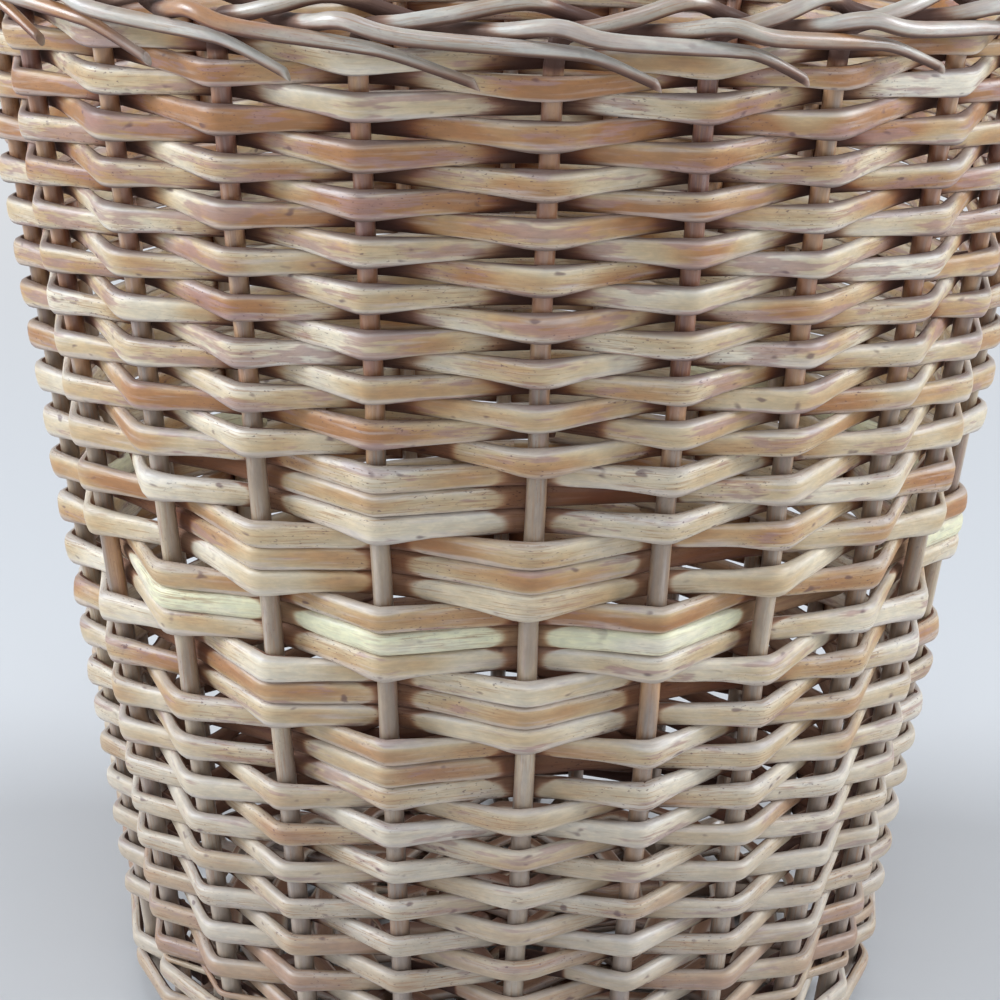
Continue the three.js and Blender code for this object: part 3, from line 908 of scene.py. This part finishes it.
def wall_openness(place, facing, ring):
    """0 for an outer face behind the stakes or an inner one before them, 1 in the open."""
    off = (math.hypot(place.x, place.y) - wall_radius(place.z)) * math.cos(LEAN)
    side = math.copysign(1, facing.x * place.x + facing.y * place.y)
    inside = mix(INSIDE_FOOT_OPEN, INSIDE_TOP_OPEN, eased(place.z, *INSIDE_LIGHTER))
    return (1 if side > 0 else inside) * clamp01((off * side - HIDDEN) / (BARE - HIDDEN))


print("a face is bare", round(BARE - HIDDEN, 4), "m further out than where it is hidden")


# %% One rod of the wall
WEAVER_LOOK = Look(sides=16, squareness=2.8, belly=0.16, flat=-1, slant=0.6)


def wall_knot(place, at, offset, half, above, below, deep):
    """The knot of a rod at a stake, creased in front of it and eased behind it."""
    bend = BACK_BEND
    if offset > 0:
        front_bend = FRONT_BENDS[math.floor(at + 0.5) % len(FRONT_BENDS)]
        bend = front_bend * random.uniform(*FRONT_BEND_SPREAD)
    centre = place.origin + place.out * offset * (1 + BEND_ALLOWANCE * bend)
    return Knot(at, centre, place.out, place.across, half, above, below, deep, bend)


def wall_rod(row, start, end, takes_over):
    """row(step) gives the level, half height, thickness, offset, and the swell up and down."""
    knots = []
    for step in range(start, end + 1):
        level, half, thickness, offset, above, below = row(step)
        place_angle = stake_angle(step, level)
        tail = LAP_TAIL / wall_radius(level)
        lapped = step == start and takes_over
        if lapped:
            offset += math.copysign(thickness + ROW_GAP, offset)
        turns = [0]
        if step == start:
            turns.insert(0, -tail)
        if step == end or lapped:
            turns.append(tail)
        for turn in turns:
            at = step + turn / STAKE_STEP
            place = wall_place(place_angle + turn, level)
            deep = thickness / 2 * (DEPTH_SWELL if offset > 0 else 1)
            knots.append(wall_knot(place, at, offset, half, above, below, deep))
    return bend_rod(stations_through(knots), WEAVER_LOOK, wall_openness)


print("a weaver has", WEAVER_LOOK.sides, "sides")


# %% The rows of the weave
JOIN_SIDES = [1, -1, 1]


def swell_beside(own_side, neighbour_side, front_swell):
    """How much of its half height a rod fills towards a neighbour."""
    if own_side == neighbour_side:
        return SNUG
    return front_swell if own_side > 0 else BACK_SWELL


def weave_row(chaser):
    """The row that a chaser weaves, as wall_rod asks for it."""

    def row(step):
        low, high = wall_levels[chaser][step]
        level = WALL_FOOT + (low + high) / 2
        thickness = thickness_for(high - low, WEAVER_HEIGHT)
        rod, stake = 2 * (step // STAKES) + chaser, step % STAKES
        side = side_of(rod, stake)
        full = eased(level, LOOSE_LEVEL, LOOSE_SPAN)
        above = swell_beside(side, side_of(rod + 1, stake), mix(LOOSE_SWELL, FRONT_SWELL, full))
        below = swell_beside(side, side_of(rod - 1, stake), mix(LOOSE_SWELL, LOWER_SWELL, full))
        offset = side * (stake_radius_at(level) + SEAT + thickness / 2)
        return level, (high - low + ROW_GAP) / 2, thickness, offset, above, below

    return row


def nearest_join(chaser, wanted):
    """Rods are joined behind a stake, between two stakes that they pass in front."""
    away = 0
    while True:
        for step in (wanted - away, wanted + away):
            if [wall_side(chaser, step + near) for near in (-1, 0, 1)] == JOIN_SIDES:
                return step
        away += 1


print("the first chaser is joined near step 50 at", nearest_join(0, 50))

# %% Weave the wall
# The chaser and the number of its one peeled rod, and how many metres of it are peeled
PEELED = (0, 5)
PEELED_RUN = 0.55
peeled_willow = willow("willow_peeled", PEELED_TONES, WEAVER_TONES, PEELED_RUN, stain=0.4)


def weave_wall(chaser, name):
    steps = STAKES * WALL_TURNS
    first = 0 if wall_side(chaser, 0) < 0 else 1
    last = steps - 1 if wall_side(chaser, steps - 1) < 0 else steps - 2
    start = first
    for i in range(RODS_PER_CHASER):
        end = last
        if i + 1 < RODS_PER_CHASER:
            end = nearest_join(chaser, math.floor(mix(first, last, (i + 1) / RODS_PER_CHASER) + 0.5))
        rod = wall_rod(weave_row(chaser), start, end, takes_over=i > 0)
        finish = peeled_willow if (chaser, i) == PEELED else weaver_willow
        add_piece(numbered(name, i), rod, finish)
        start = end


weave_wall(0, "wall_weaver_a")
weave_wall(1, "wall_weaver_b")
print(len(made), "wall rods,", sum(len(p.data.polygons) for p in made), "faces")

# %% [markdown]
# Upsett
#
# At the foot three rods are worked one above the other, each in front of two stakes and behind
# one. They hold the stakes upright where they turn up out of the base. Some makers take thicker
# rods for it. Here they are about as thick as the weavers, so the same helper bends them.

# %% Upsett
def upsett_row(rod, start):
    def row(step):
        level = UPSETT_FOOT + (rod + 0.5) * UPSETT_SLOT
        side = -1 if (step - start) % UPSETT_RODS == 0 else 1
        offset = side * (stake_radius_at(level) + SEAT + WEAVER_THICKNESS / 2)
        return level, UPSETT_SLOT / 2, WEAVER_THICKNESS, offset, SNUG, SNUG

    return row


for i in range(UPSETT_RODS):
    start = (2 * UPSETT_RODS - 1 - i) % UPSETT_RODS
    rod = wall_rod(upsett_row(i, start), start, start + STAKES, takes_over=True)
    add_piece(numbered("upsett_rod", i), rod, weaver_willow)
print(UPSETT_RODS, "upsett rods,", len(made), "pieces so far")

# %% [markdown]
# Stakes and border
#
# Each stake lies beside a stick of the base, turns up sharply and leans outward with the wall.
# Above the weave it becomes the border: it rises over the rod that comes out below it, drops
# behind the next stake, comes out, passes in front of two more and ends in a slanting cut below.
#
# A turned ring with a twisted pattern would look alike all round. Here every stake is one rod from
# its butt to its tip, and the border comes about because all of them take the same route, each one
# stake further to the right.

# %% A curve and its stations
def curve_through(points, parts):
    """A smooth line through points: each stretch leaves along the way between its neighbours."""
    ends = [points[0], *points, points[-1]]
    line = []
    for before, a, b, after in zip(ends, ends[1:], ends[2:], ends[3:]):
        for part in range(parts):
            t = part / parts
            leave, arrive = (b - before) / 2, (after - a) / 2
            line.append(
                a * (1 + 2 * t) * (1 - t) ** 2
                + b * t * t * (3 - 2 * t)
                + leave * t * (1 - t) ** 2
                - arrive * t * t * (1 - t)
            )
    return line + [points[-1]]


def round_stations(path, radii):
    """Stations of a round rod, whose section turns with the rod and doesn't twist."""
    last = len(path) - 1
    heading = (path[1] - path[0]).normalized()
    out = UP.cross(heading).normalized()
    stations = []
    for i, (place, radius) in enumerate(zip(path, radii)):
        ahead = (path[min(i + 1, last)] - path[max(i - 1, 0)]).normalized()
        out.rotate(heading.rotation_difference(ahead))
        heading = ahead
        stations.append(Station(place, out.copy(), heading.cross(out), radius, radius, radius, 0))
    return stations


# %% Route of a stake
# Where the border leads: how many stakes to the right, then how far out and up, in rods
BORDER_ROUTE = (
    (0.05, 0, 0.72),
    (0.25, 0.19, 1.15),
    (0.5, 0.24, 1.65),
    (0.84, -0.1, 2.2),
    (1.15, -1.12, 1.3),
    (1.42, -0.8, 0.75),
    (1.72, 0.7, 1.05),
    (2, 1.88, 1.6),
    (2.3, 2.07, 1.05),
    (3, 1.7, 0.5),
    (3.25, 1.6, 0.1),
    (3.62, 1.5, -1.15),
)
BORDER_FOOT = (0, 0, -0.6)
BORDER_UNIT = STAKE_RIM_DIAMETER + TOUCH / 2
BORDER_END = BORDER_ROUTE[-1][0]
KINK_SHARES = (0, 0.2, 0.4, 0.6, 0.8, 1)
UPRIGHT_PARTS = 170
BORDER_FIRST = len(KINK_SHARES) + UPRIGHT_PARTS
CURVE_PARTS = 6


def tuck_tip(step):
    """The butt of a stake, tucked into the base beside its stick."""
    beside = -1 if step % 2 == 0 else 1
    stick = stake_angle(step) - beside * STAKE_STEP / 2
    return outward(stick) * TUCK_RADIUS + along(stick) * beside * TUCK_SIDE + UP * BASE_LEVEL


def kink(step):
    """The bend where a stake turns up, from level to the wall's lean."""
    foot = FOOT_RADIUS + STAKE_BEND * (math.tan(LEAN) - 1 / math.cos(LEAN))
    bend = []
    for share in KINK_SHARES:
        turn = share * (math.pi / 2 - LEAN)
        radius = foot + STAKE_BEND * math.sin(turn)
        height = BASE_LEVEL + STAKE_BEND * (1 - math.cos(turn))
        bend.append(outward(stake_angle(step)) * radius + UP * height)
    return bend


def border_place(step, right, out, up):
    """A place of a stake's border, from the top of the wall where it comes out."""
    place = wall_place(stake_angle(step + right, WALL_TOP), WALL_TOP)
    return place.origin + place.out * out * BORDER_UNIT + place.across * up * BORDER_UNIT


def border_right(ring):
    """How many stakes to the right a ring of the border lies."""
    rights = [0] + [spot[0] for spot in BORDER_ROUTE]
    part, share = divmod(max(0, ring - BORDER_FIRST) / CURVE_PARTS, 1)
    return mix(rights[int(part)], rights[min(int(part) + 1, len(rights) - 1)], share)


print("the border's first ring is ring", BORDER_FIRST)

# %% Stations of a stake
STAKE_LOOK = Look(sides=12, squareness=2, belly=0, flat=-1, slant=1)
STAKE_WAVER = 0.0006
# Unlike the other unevennesses this one is counted on the whole way up, not in steps.
STAKE_SWAY = (9, 0)
# How much slimmer the rod is pressed, and between how many stakes to the right
SLIM = 0.14
SLIMMER = (0, 0.3)
FULL_AGAIN = (1.2, 0.6)
TIP_SLIM = 0.3
TIP_SLIMMER = (2.7, 0.9)


def border_thickness(right):
    """The rod is pressed slim where it rises and crosses, and full where it lies outside."""
    slim = 1 - SLIM * eased(right, *SLIMMER) * (1 - eased(right, *FULL_AGAIN))
    slim -= TIP_SLIM * eased(right, *TIP_SLIMMER)
    return slim * mix(STAKE_RIM_DIAMETER, STAKE_TIP_DIAMETER, right / BORDER_END) / 2


def stake_stations(step):
    bend = kink(step)
    leaving = border_place(step, *BORDER_FOOT)
    path = [tuck_tip(step), *bend]
    radii = [STAKE_FOOT_RADIUS] * len(path)
    seed = random.uniform(0, NOISE_SEEDS)
    for part in range(1, UPRIGHT_PARTS):
        share = part / UPRIGHT_PARTS
        place = bend[-1].lerp(leaving, share)
        sway = STAKE_WAVER * math.sin(math.pi * share) * uneven(share, STAKE_SWAY, seed)
        path.append(place + along(stake_angle(step, place.z)) * sway)
        radii.append(stake_radius_at(place.z))
    points = [leaving] + [border_place(step, *spot) for spot in BORDER_ROUTE]
    for place in curve_through(points, CURVE_PARTS):
        radii.append(border_thickness(border_right(len(path))))
        path.append(place)
    return round_stations(path, radii)


print("a stake's tip has a radius of", round(border_thickness(BORDER_END), 5))

# %% How openly the border lies
# Stretches of the border, in stakes to the right: where each begins, and how long it takes
RISEN = (0.1, 0.35)
DIVING = (0.75, 0.3)
OUT_AGAIN = (1.6, 0.35)
TIP_DARK_FROM = 2.7
# How much of its openness a covered rod and a tip lose, and how openly the rest lies
COVERED = 0.95
TIP_DARK = 0.7
CUT_OPEN = 0.35
UNDERSIDE_OPEN = 0.05
# The way that a face points, from down to up: where an underside's painted shade begins to lift,
# and how long it takes
TURNING_UP = (-0.9, 1.5)


def border_openness(facing, ring):
    """Painted shade where a stake comes out of the weave, where it dives, and underneath.
    Near its tip it is darker.
    """
    right = border_right(ring)
    if right >= BORDER_END:
        return CUT_OPEN
    rising = COVERED * (1 - eased(right, *RISEN))
    diving = COVERED * eased(right, *DIVING) * (1 - eased(right, *OUT_AGAIN))
    tip = TIP_DARK * eased(right, TIP_DARK_FROM, BORDER_END - TIP_DARK_FROM)
    return (1 - max(rising, diving, tip)) * mix(UNDERSIDE_OPEN, 1, eased(facing.z, *TURNING_UP))


print("the border dives from", DIVING[0], "to", OUT_AGAIN[0], "stakes to the right")


# %% How openly a stake lies
# How far a rod's painted contact shade reaches above and below it on a stake
REACH_ABOVE = 0.0019
REACH_BELOW = 0.001
STAKE_FOOT_OPEN = 0.5
STAKE_DARKEST = 0.3


def crossing_edges(step, side):
    """Heights of the edges of the rods that cross a stake on one side."""
    edges = []
    for turn in range(WALL_TURNS):
        for chaser in (0, 1):
            if wall_side(chaser, turn * STAKES + step) == side:
                low, high = wall_levels[chaser][turn * STAKES + step]
                edges.append((WALL_FOOT + low - ROW_GAP, WALL_FOOT + high + ROW_GAP))
    return edges


def clear_of(edge, z):
    """How far a height is from a rod: 0 or less on it, 1 out of its shadow above or below it."""
    low, high = edge
    return max((low - z) / REACH_BELOW, (z - high) / REACH_ABOVE)


def stake_openness(step):
    """A stake is darker where it comes out above a rod, and a little where it goes in below one:
    painted contact shade, partly stain.
    """
    edges = {side: crossing_edges(step, side) for side in (1, -1)}

    def openness(place, facing, ring):
        if ring >= BORDER_FIRST:
            return border_openness(facing, ring)
        if place.z < WALL_FOOT:
            return STAKE_FOOT_OPEN
        side = 1 if facing.x * place.x + facing.y * place.y > 0 else -1
        return mix(STAKE_DARKEST, 1, smooth(min(clear_of(edge, place.z) for edge in edges[side])))

    return openness


print(len(crossing_edges(0, 1)), "rods pass in front of the first stake")

# %% Bend the stakes
BORDER_RUN = TUCK_LENGTH + (WALL_TOP - BASE_LEVEL) / math.cos(LEAN)
stake_willow = willow(
    "willow_stake", STAKE_TONES, BORDER_TONES, BORDER_RUN, stain=0.4, wear=0.36, gloss=0.8
)
for step in range(STAKES):
    rod = bend_rod(stake_stations(step), STAKE_LOOK, stake_openness(step))
    add_piece(numbered("stake", step), rod, stake_willow)
print(STAKES, "stakes,", len(made), "pieces so far")

# %% [markdown]
# Base
#
# Three split sticks hold three through sticks in a cross. Two binding rods tie the cross, the
# arms fan out into evenly spread sticks, and two weavers chase each other outward over and under
# them. Near the edge they also take in the two stakes that lie beside each stick.
#
# Hardly anything of it shows, and a plain disc would close the foot too. It is made in full,
# because the basket may be turned over, and it needs only the same helpers once more.

# %% Sticks
STICK_LOOK = Look(sides=12, squareness=2, belly=0, flat=-1, slant=0.25)
CROSS_ANGLE = stick_angle(0) + (STICKS_PER_ARM - 1) / 2 * STICK_STEP
STICK_PARTS = 5
BASE_UNDER_OPEN = 0.6
BASE_UPPER_OPEN = 0.06
UNDER_TO_UPPER = (-1, 2)


def half_stick_path(lane, arm_angle):
    """One half of a stick: where the arm ends it fans out to its own place at the edge."""
    fan = arm_angle + lane * STICK_STEP
    inner = outward(arm_angle) * ARM_LENGTH + along(arm_angle) * lane * SLATH_PITCH
    return [
        inner + UP * base_height(ARM_LENGTH),
        outward(fan) * FAN_RADIUS + UP * base_height(FAN_RADIUS),
        outward(fan) * TUCK_RADIUS + UP * BASE_LEVEL,
        outward(fan) * STICK_REACH + UP * BASE_LEVEL,
    ]


def divided(points, parts):
    """Straight stretches between points, each divided into parts."""
    line = []
    for a, b in zip(points, points[1:]):
        line += [a.lerp(b, part / parts) for part in range(parts)]
    return line + [points[-1]]


def base_openness(place, facing, ring):
    """The underside gets no painted shade, the upper side gets it as it lies in the dark of the basket.
    """
    return mix(BASE_UNDER_OPEN, BASE_UPPER_OPEN, eased(facing.z, *UNDER_TO_UPPER))


def through_stick(lane, angle):
    path = half_stick_path(-lane, angle + math.pi)[::-1] + half_stick_path(lane, angle)
    path = divided(path, STICK_PARTS)
    stations = round_stations(path, [STICK_RADIUS] * len(path))
    return bend_rod(stations, STICK_LOOK, base_openness)


print("the cross is turned by", round(math.degrees(CROSS_ANGLE), 1), "degrees")

# %% Split sticks
HALF_STICK_LOOK = Look(sides=16, squareness=2, belly=0, flat=-0.04, slant=0)


def bowed(angle, lane, side):
    """The middle of one half of a split stick, where it bows round the sticks in the slit."""
    lift = STICK_RADIUS + TOUCH
    middle = along(angle) * lane * SLATH_PITCH + UP * base_height(0)
    bow_end = ARM_HALF_WIDTH + TOUCH
    spots = ((-SPLIT_END, 0), (-bow_end, lift), (bow_end, lift), (SPLIT_END, 0))
    return [middle + outward(angle) * reach + UP * side * rise for reach, rise in spots]


def half_of_split_stick(lane, angle, side):
    one_end, other_end = half_stick_path(-lane, angle + math.pi)[::-1], half_stick_path(lane, angle)
    path = divided(one_end + bowed(angle, lane, side) + other_end, STICK_PARTS)
    stations = []
    for i, place in enumerate(path):
        heading = path[min(i + 1, len(path) - 1)] - path[max(i - 1, 0)]
        across = UP.cross(heading).normalized()
        stations.append(Station(place, UP * side, across, STICK_RADIUS, STICK_RADIUS, STICK_RADIUS, 0))
    return bend_rod(stations, HALF_STICK_LOOK, base_openness)


def split_stick(lane, angle):
    upper = half_of_split_stick(lane, angle, 1)
    lower = half_of_split_stick(lane, angle, -1)
    spare = bpy.data.meshes.new("lower_half")
    lower.to_mesh(spare)
    upper.from_mesh(spare)
    lower.free()
    bpy.data.meshes.remove(spare)
    return upper


for i in range(STICKS_PER_ARM):
    lane = i - (STICKS_PER_ARM - 1) / 2
    add_piece(numbered("through_stick", i), through_stick(lane, CROSS_ANGLE), stick_willow)
    rod = split_stick(lane, CROSS_ANGLE + math.pi / 2)
    add_piece(numbered("split_stick", i), rod, stick_willow)
print(2 * STICKS_PER_ARM, "sticks,", len(made), "pieces so far")

# %% One rod of the base
BASE_LOOK = Look(sides=12, squareness=2.6, belly=0.1, flat=-1, slant=0.6)
BASE_BEND = 0.06
BASE_PRESSED = 0.88
BASE_WAVER = 0.0001


def base_side(rod, step):
    """1 above the sticks, -1 below them."""
    return -1 if (step + rod) % 2 == 0 else 1


def base_rod(row, start, end):
    """row(step) gives the middle angle, radius, spread, half width, thickness and side."""
    knots = []
    for step in range(start, end + 1):
        angle, radius, spread, half, thickness, side = row(step)
        tail = LAP_TAIL / radius
        turns = [-spread, spread] if spread else [0]
        if step == start:
            turns.insert(0, turns[0] - tail)
        if step == end:
            turns.append(turns[-1] + tail)
        for turn in turns:
            place = base_place(angle + turn, radius, spread)
            centre = place.origin + place.out * side * (STICK_RADIUS + BASE_SEAT + thickness / 2)
            at = step + turn / STICK_STEP
            deep = thickness / 2 * BASE_PRESSED
            knots.append(Knot(at, centre, place.out, place.across, half, 1, 1, deep, BASE_BEND))
    return bend_rod(stations_through(knots, BASE_WAVER, rolling=0), BASE_LOOK, base_openness)


print("rods of the base are pressed to", BASE_PRESSED, "of their thickness")

# %% Binding rods
ARMS = 4
BINDING_RODS = 2


def binding_row(rod):
    further_out = rod * (BINDING_WIDTH + ROW_GAP)
    radius = SPLIT_END + TOUCH + BINDING_WIDTH / 2 + further_out
    corner_reach = (math.sqrt(2) - 1) * further_out
    spread = math.atan2(ARM_HALF_WIDTH + TOUCH + corner_reach, radius)

    def row(step):
        angle = CROSS_ANGLE + step * 2 * math.pi / ARMS
        return angle, radius, spread, BINDING_WIDTH / 2, WEAVER_THICKNESS, base_side(rod, step)

    return row


for i in range(BINDING_RODS):
    rod = base_rod(binding_row(i), i, i + ARMS - 1)
    add_piece(numbered("binding_rod", i), rod, weaver_willow)
print(BINDING_RODS, "binding rods,", len(made), "pieces so far")

# %% Weavers of the base
base_levels = chase_levels(STICK_ENDS, BASE_TURNS, lambda turns: BASE_WEAVER_WIDTH)


def tuck_offset(radius):
    """How far beside its stick a stake lies."""
    edge = (FOOT_RADIUS - STAKE_BEND) * math.sin(STAKE_STEP / 2)
    return mix(TUCK_SIDE, edge, clamp01((radius - TUCK_RADIUS) / TUCK_LENGTH))


def base_row(rod):
    def row(step):
        low, high = base_levels[rod][step]
        radius = BASE_INNER + (low + high) / 2
        spread = 0
        if radius + BASE_WEAVER_WIDTH >= TUCK_RADIUS:
            spread = math.atan2(tuck_offset(radius) + STAKE_FOOT_RADIUS + TOUCH, radius)
        thickness = thickness_for(high - low, BASE_WEAVER_WIDTH)
        half = (high - low + ROW_GAP) / 2
        return stick_angle(step), radius, spread, half, thickness, base_side(rod, step)

    return row


for i in (0, 1):
    rod = base_rod(base_row(i), 0, STICK_ENDS * BASE_TURNS - 1)
    add_piece(numbered("base_weaver", i), rod, weaver_willow)
print(len(made), "pieces,", sum(len(p.data.polygons) for p in made), "faces")

# %% [markdown]
# Floor and light
#
# A plain pale floor and soft daylight from both sides, with a little from above and from the
# front, as in the photograph. A rod then looks pale where it faces the sides and warmer where it
# faces the camera. The lamps stand far off, so that they light the floor evenly.
#
# A curved backdrop could hide the horizon. Here the floor runs over into the colour of the room
# further out, so it has no edge. The camera sees that colour, and so do gloss and clear things,
# but it lights nothing: the room's light is a dimmer grey of its own.

# %% The colour of the room
ROOM_SEEN = (0.72, 0.74, 0.77, 1)
ROOM_LIGHT = (0.19, 0.195, 0.205, 1)
SEEN_BY = ("Is Camera Ray", "Is Glossy Ray", "Is Transmission Ray")


def seen(finish):
    """1 for the rays that see a colour, 0 for those that gather light."""
    by_camera, by_gloss, by_clear = (finish.node("ShaderNodeLightPath", {}, {}, ray) for ray in SEEN_BY)
    return (by_camera + by_gloss + by_clear).above(0, 1)


world = bpy.data.worlds.new("pale_room")
room = Finish(world)
background = room.tree.nodes["Background"].inputs["Color"]
room.feed(background, room.tinted(seen(room), ROOM_LIGHT, ROOM_SEEN))
bpy.context.scene.world = world
print("the room is seen as", ROOM_SEEN[:3])

# %% Floor
FLOOR_HALF = 3.0
FLOOR_COLOUR = (0.62, 0.62, 0.63, 1)
FLOOR_ROUGHNESS = 0.7
FLOOR_FADES = (0.3, 1.1)
floor_mesh = bmesh.new()
bmesh.ops.create_grid(floor_mesh, x_segments=1, y_segments=1, size=FLOOR_HALF)
floor_data = bpy.data.meshes.new("floor")
floor_mesh.to_mesh(floor_data)
floor_mesh.free()
floor = bpy.data.objects.new("floor", floor_data)
bpy.context.collection.objects.link(floor)
print("the floor reaches", FLOOR_HALF, "m from the basket")

# %% Finish of the floor
pale = bpy.data.materials.new("pale_floor")
floor_finish = Finish(pale)
floor_finish.feed(floor_finish.shader.inputs["Base Color"], FLOOR_COLOUR)
floor_finish.feed(floor_finish.shader.inputs["Roughness"], FLOOR_ROUGHNESS)
on_floor = floor_finish.node("ShaderNodeTexCoord", {}, {}, "Object")
away = floor_finish.node("ShaderNodeVectorMath", {"operation": "LENGTH"}, {0: on_floor}, "Value")
far_and_seen = away.above(*FLOOR_FADES) * seen(floor_finish)
own_look = Shade(floor_finish, floor_finish.shader.outputs[0])
room_glow = floor_finish.node("ShaderNodeEmission", {}, {"Color": ROOM_SEEN})
mixed = {0: far_and_seen, 1: own_look, 2: room_glow}
look = floor_finish.node("ShaderNodeMixShader", {}, mixed)
floor_finish.feed(floor_finish.tree.nodes["Material Output"].inputs["Surface"], look)
floor_data.materials.append(pale)
floor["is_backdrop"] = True
print("the floor's finish has", len(floor_finish.tree.nodes), "nodes")

# %% Lamps
AIM = Vector((0, 0, 0.16))
WINDOW_LIGHT = (0.865, 0.932, 1)
CEILING_LIGHT = (0.84, 0.92, 1)
FRONT_LIGHT = (0.82, 0.91, 1)


def soft_lamp(name, colour, azimuth, height, distance, size, power):
    data = bpy.data.lights.new(name, "AREA")
    data.shape = "SQUARE"
    data.size = size
    data.energy = power
    data.color = colour
    lamp = bpy.data.objects.new(name, data)
    bpy.context.collection.objects.link(lamp)
    place = outward(math.radians(azimuth)) * distance + UP * height
    facing = (AIM - place).to_track_quat("-Z", "Y").to_matrix().to_4x4()
    lamp.matrix_world = Matrix.Translation(place) @ facing


soft_lamp("window_left", WINDOW_LIGHT, azimuth=-75, height=1.2, distance=2.4, size=1.2, power=76)
soft_lamp("window_right", WINDOW_LIGHT, azimuth=103, height=1.25, distance=2.4, size=1.2, power=68)
soft_lamp("ceiling", CEILING_LIGHT, azimuth=12, height=2.4, distance=0.75, size=0.75, power=14)
soft_lamp("front", FRONT_LIGHT, azimuth=13, height=0.9, distance=2.4, size=1.6, power=14)
bpy.context.scene.view_settings.view_transform = "Standard"
print(len(bpy.data.lights), "lamps")

# %% [markdown]
# Measuring
#
# The dressed basket must be as big as the solid model. Comparing the two by eye hides small
# growth, so the script prints both boxes.

# %% Print both boxes and finish
visual_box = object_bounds()
boxes = {
    "cad": [list(corner) for corner in cad_box],
    "visual": [list(corner) for corner in visual_box],
}
print("solid model", boxes["cad"])
print("visual model", boxes["visual"])
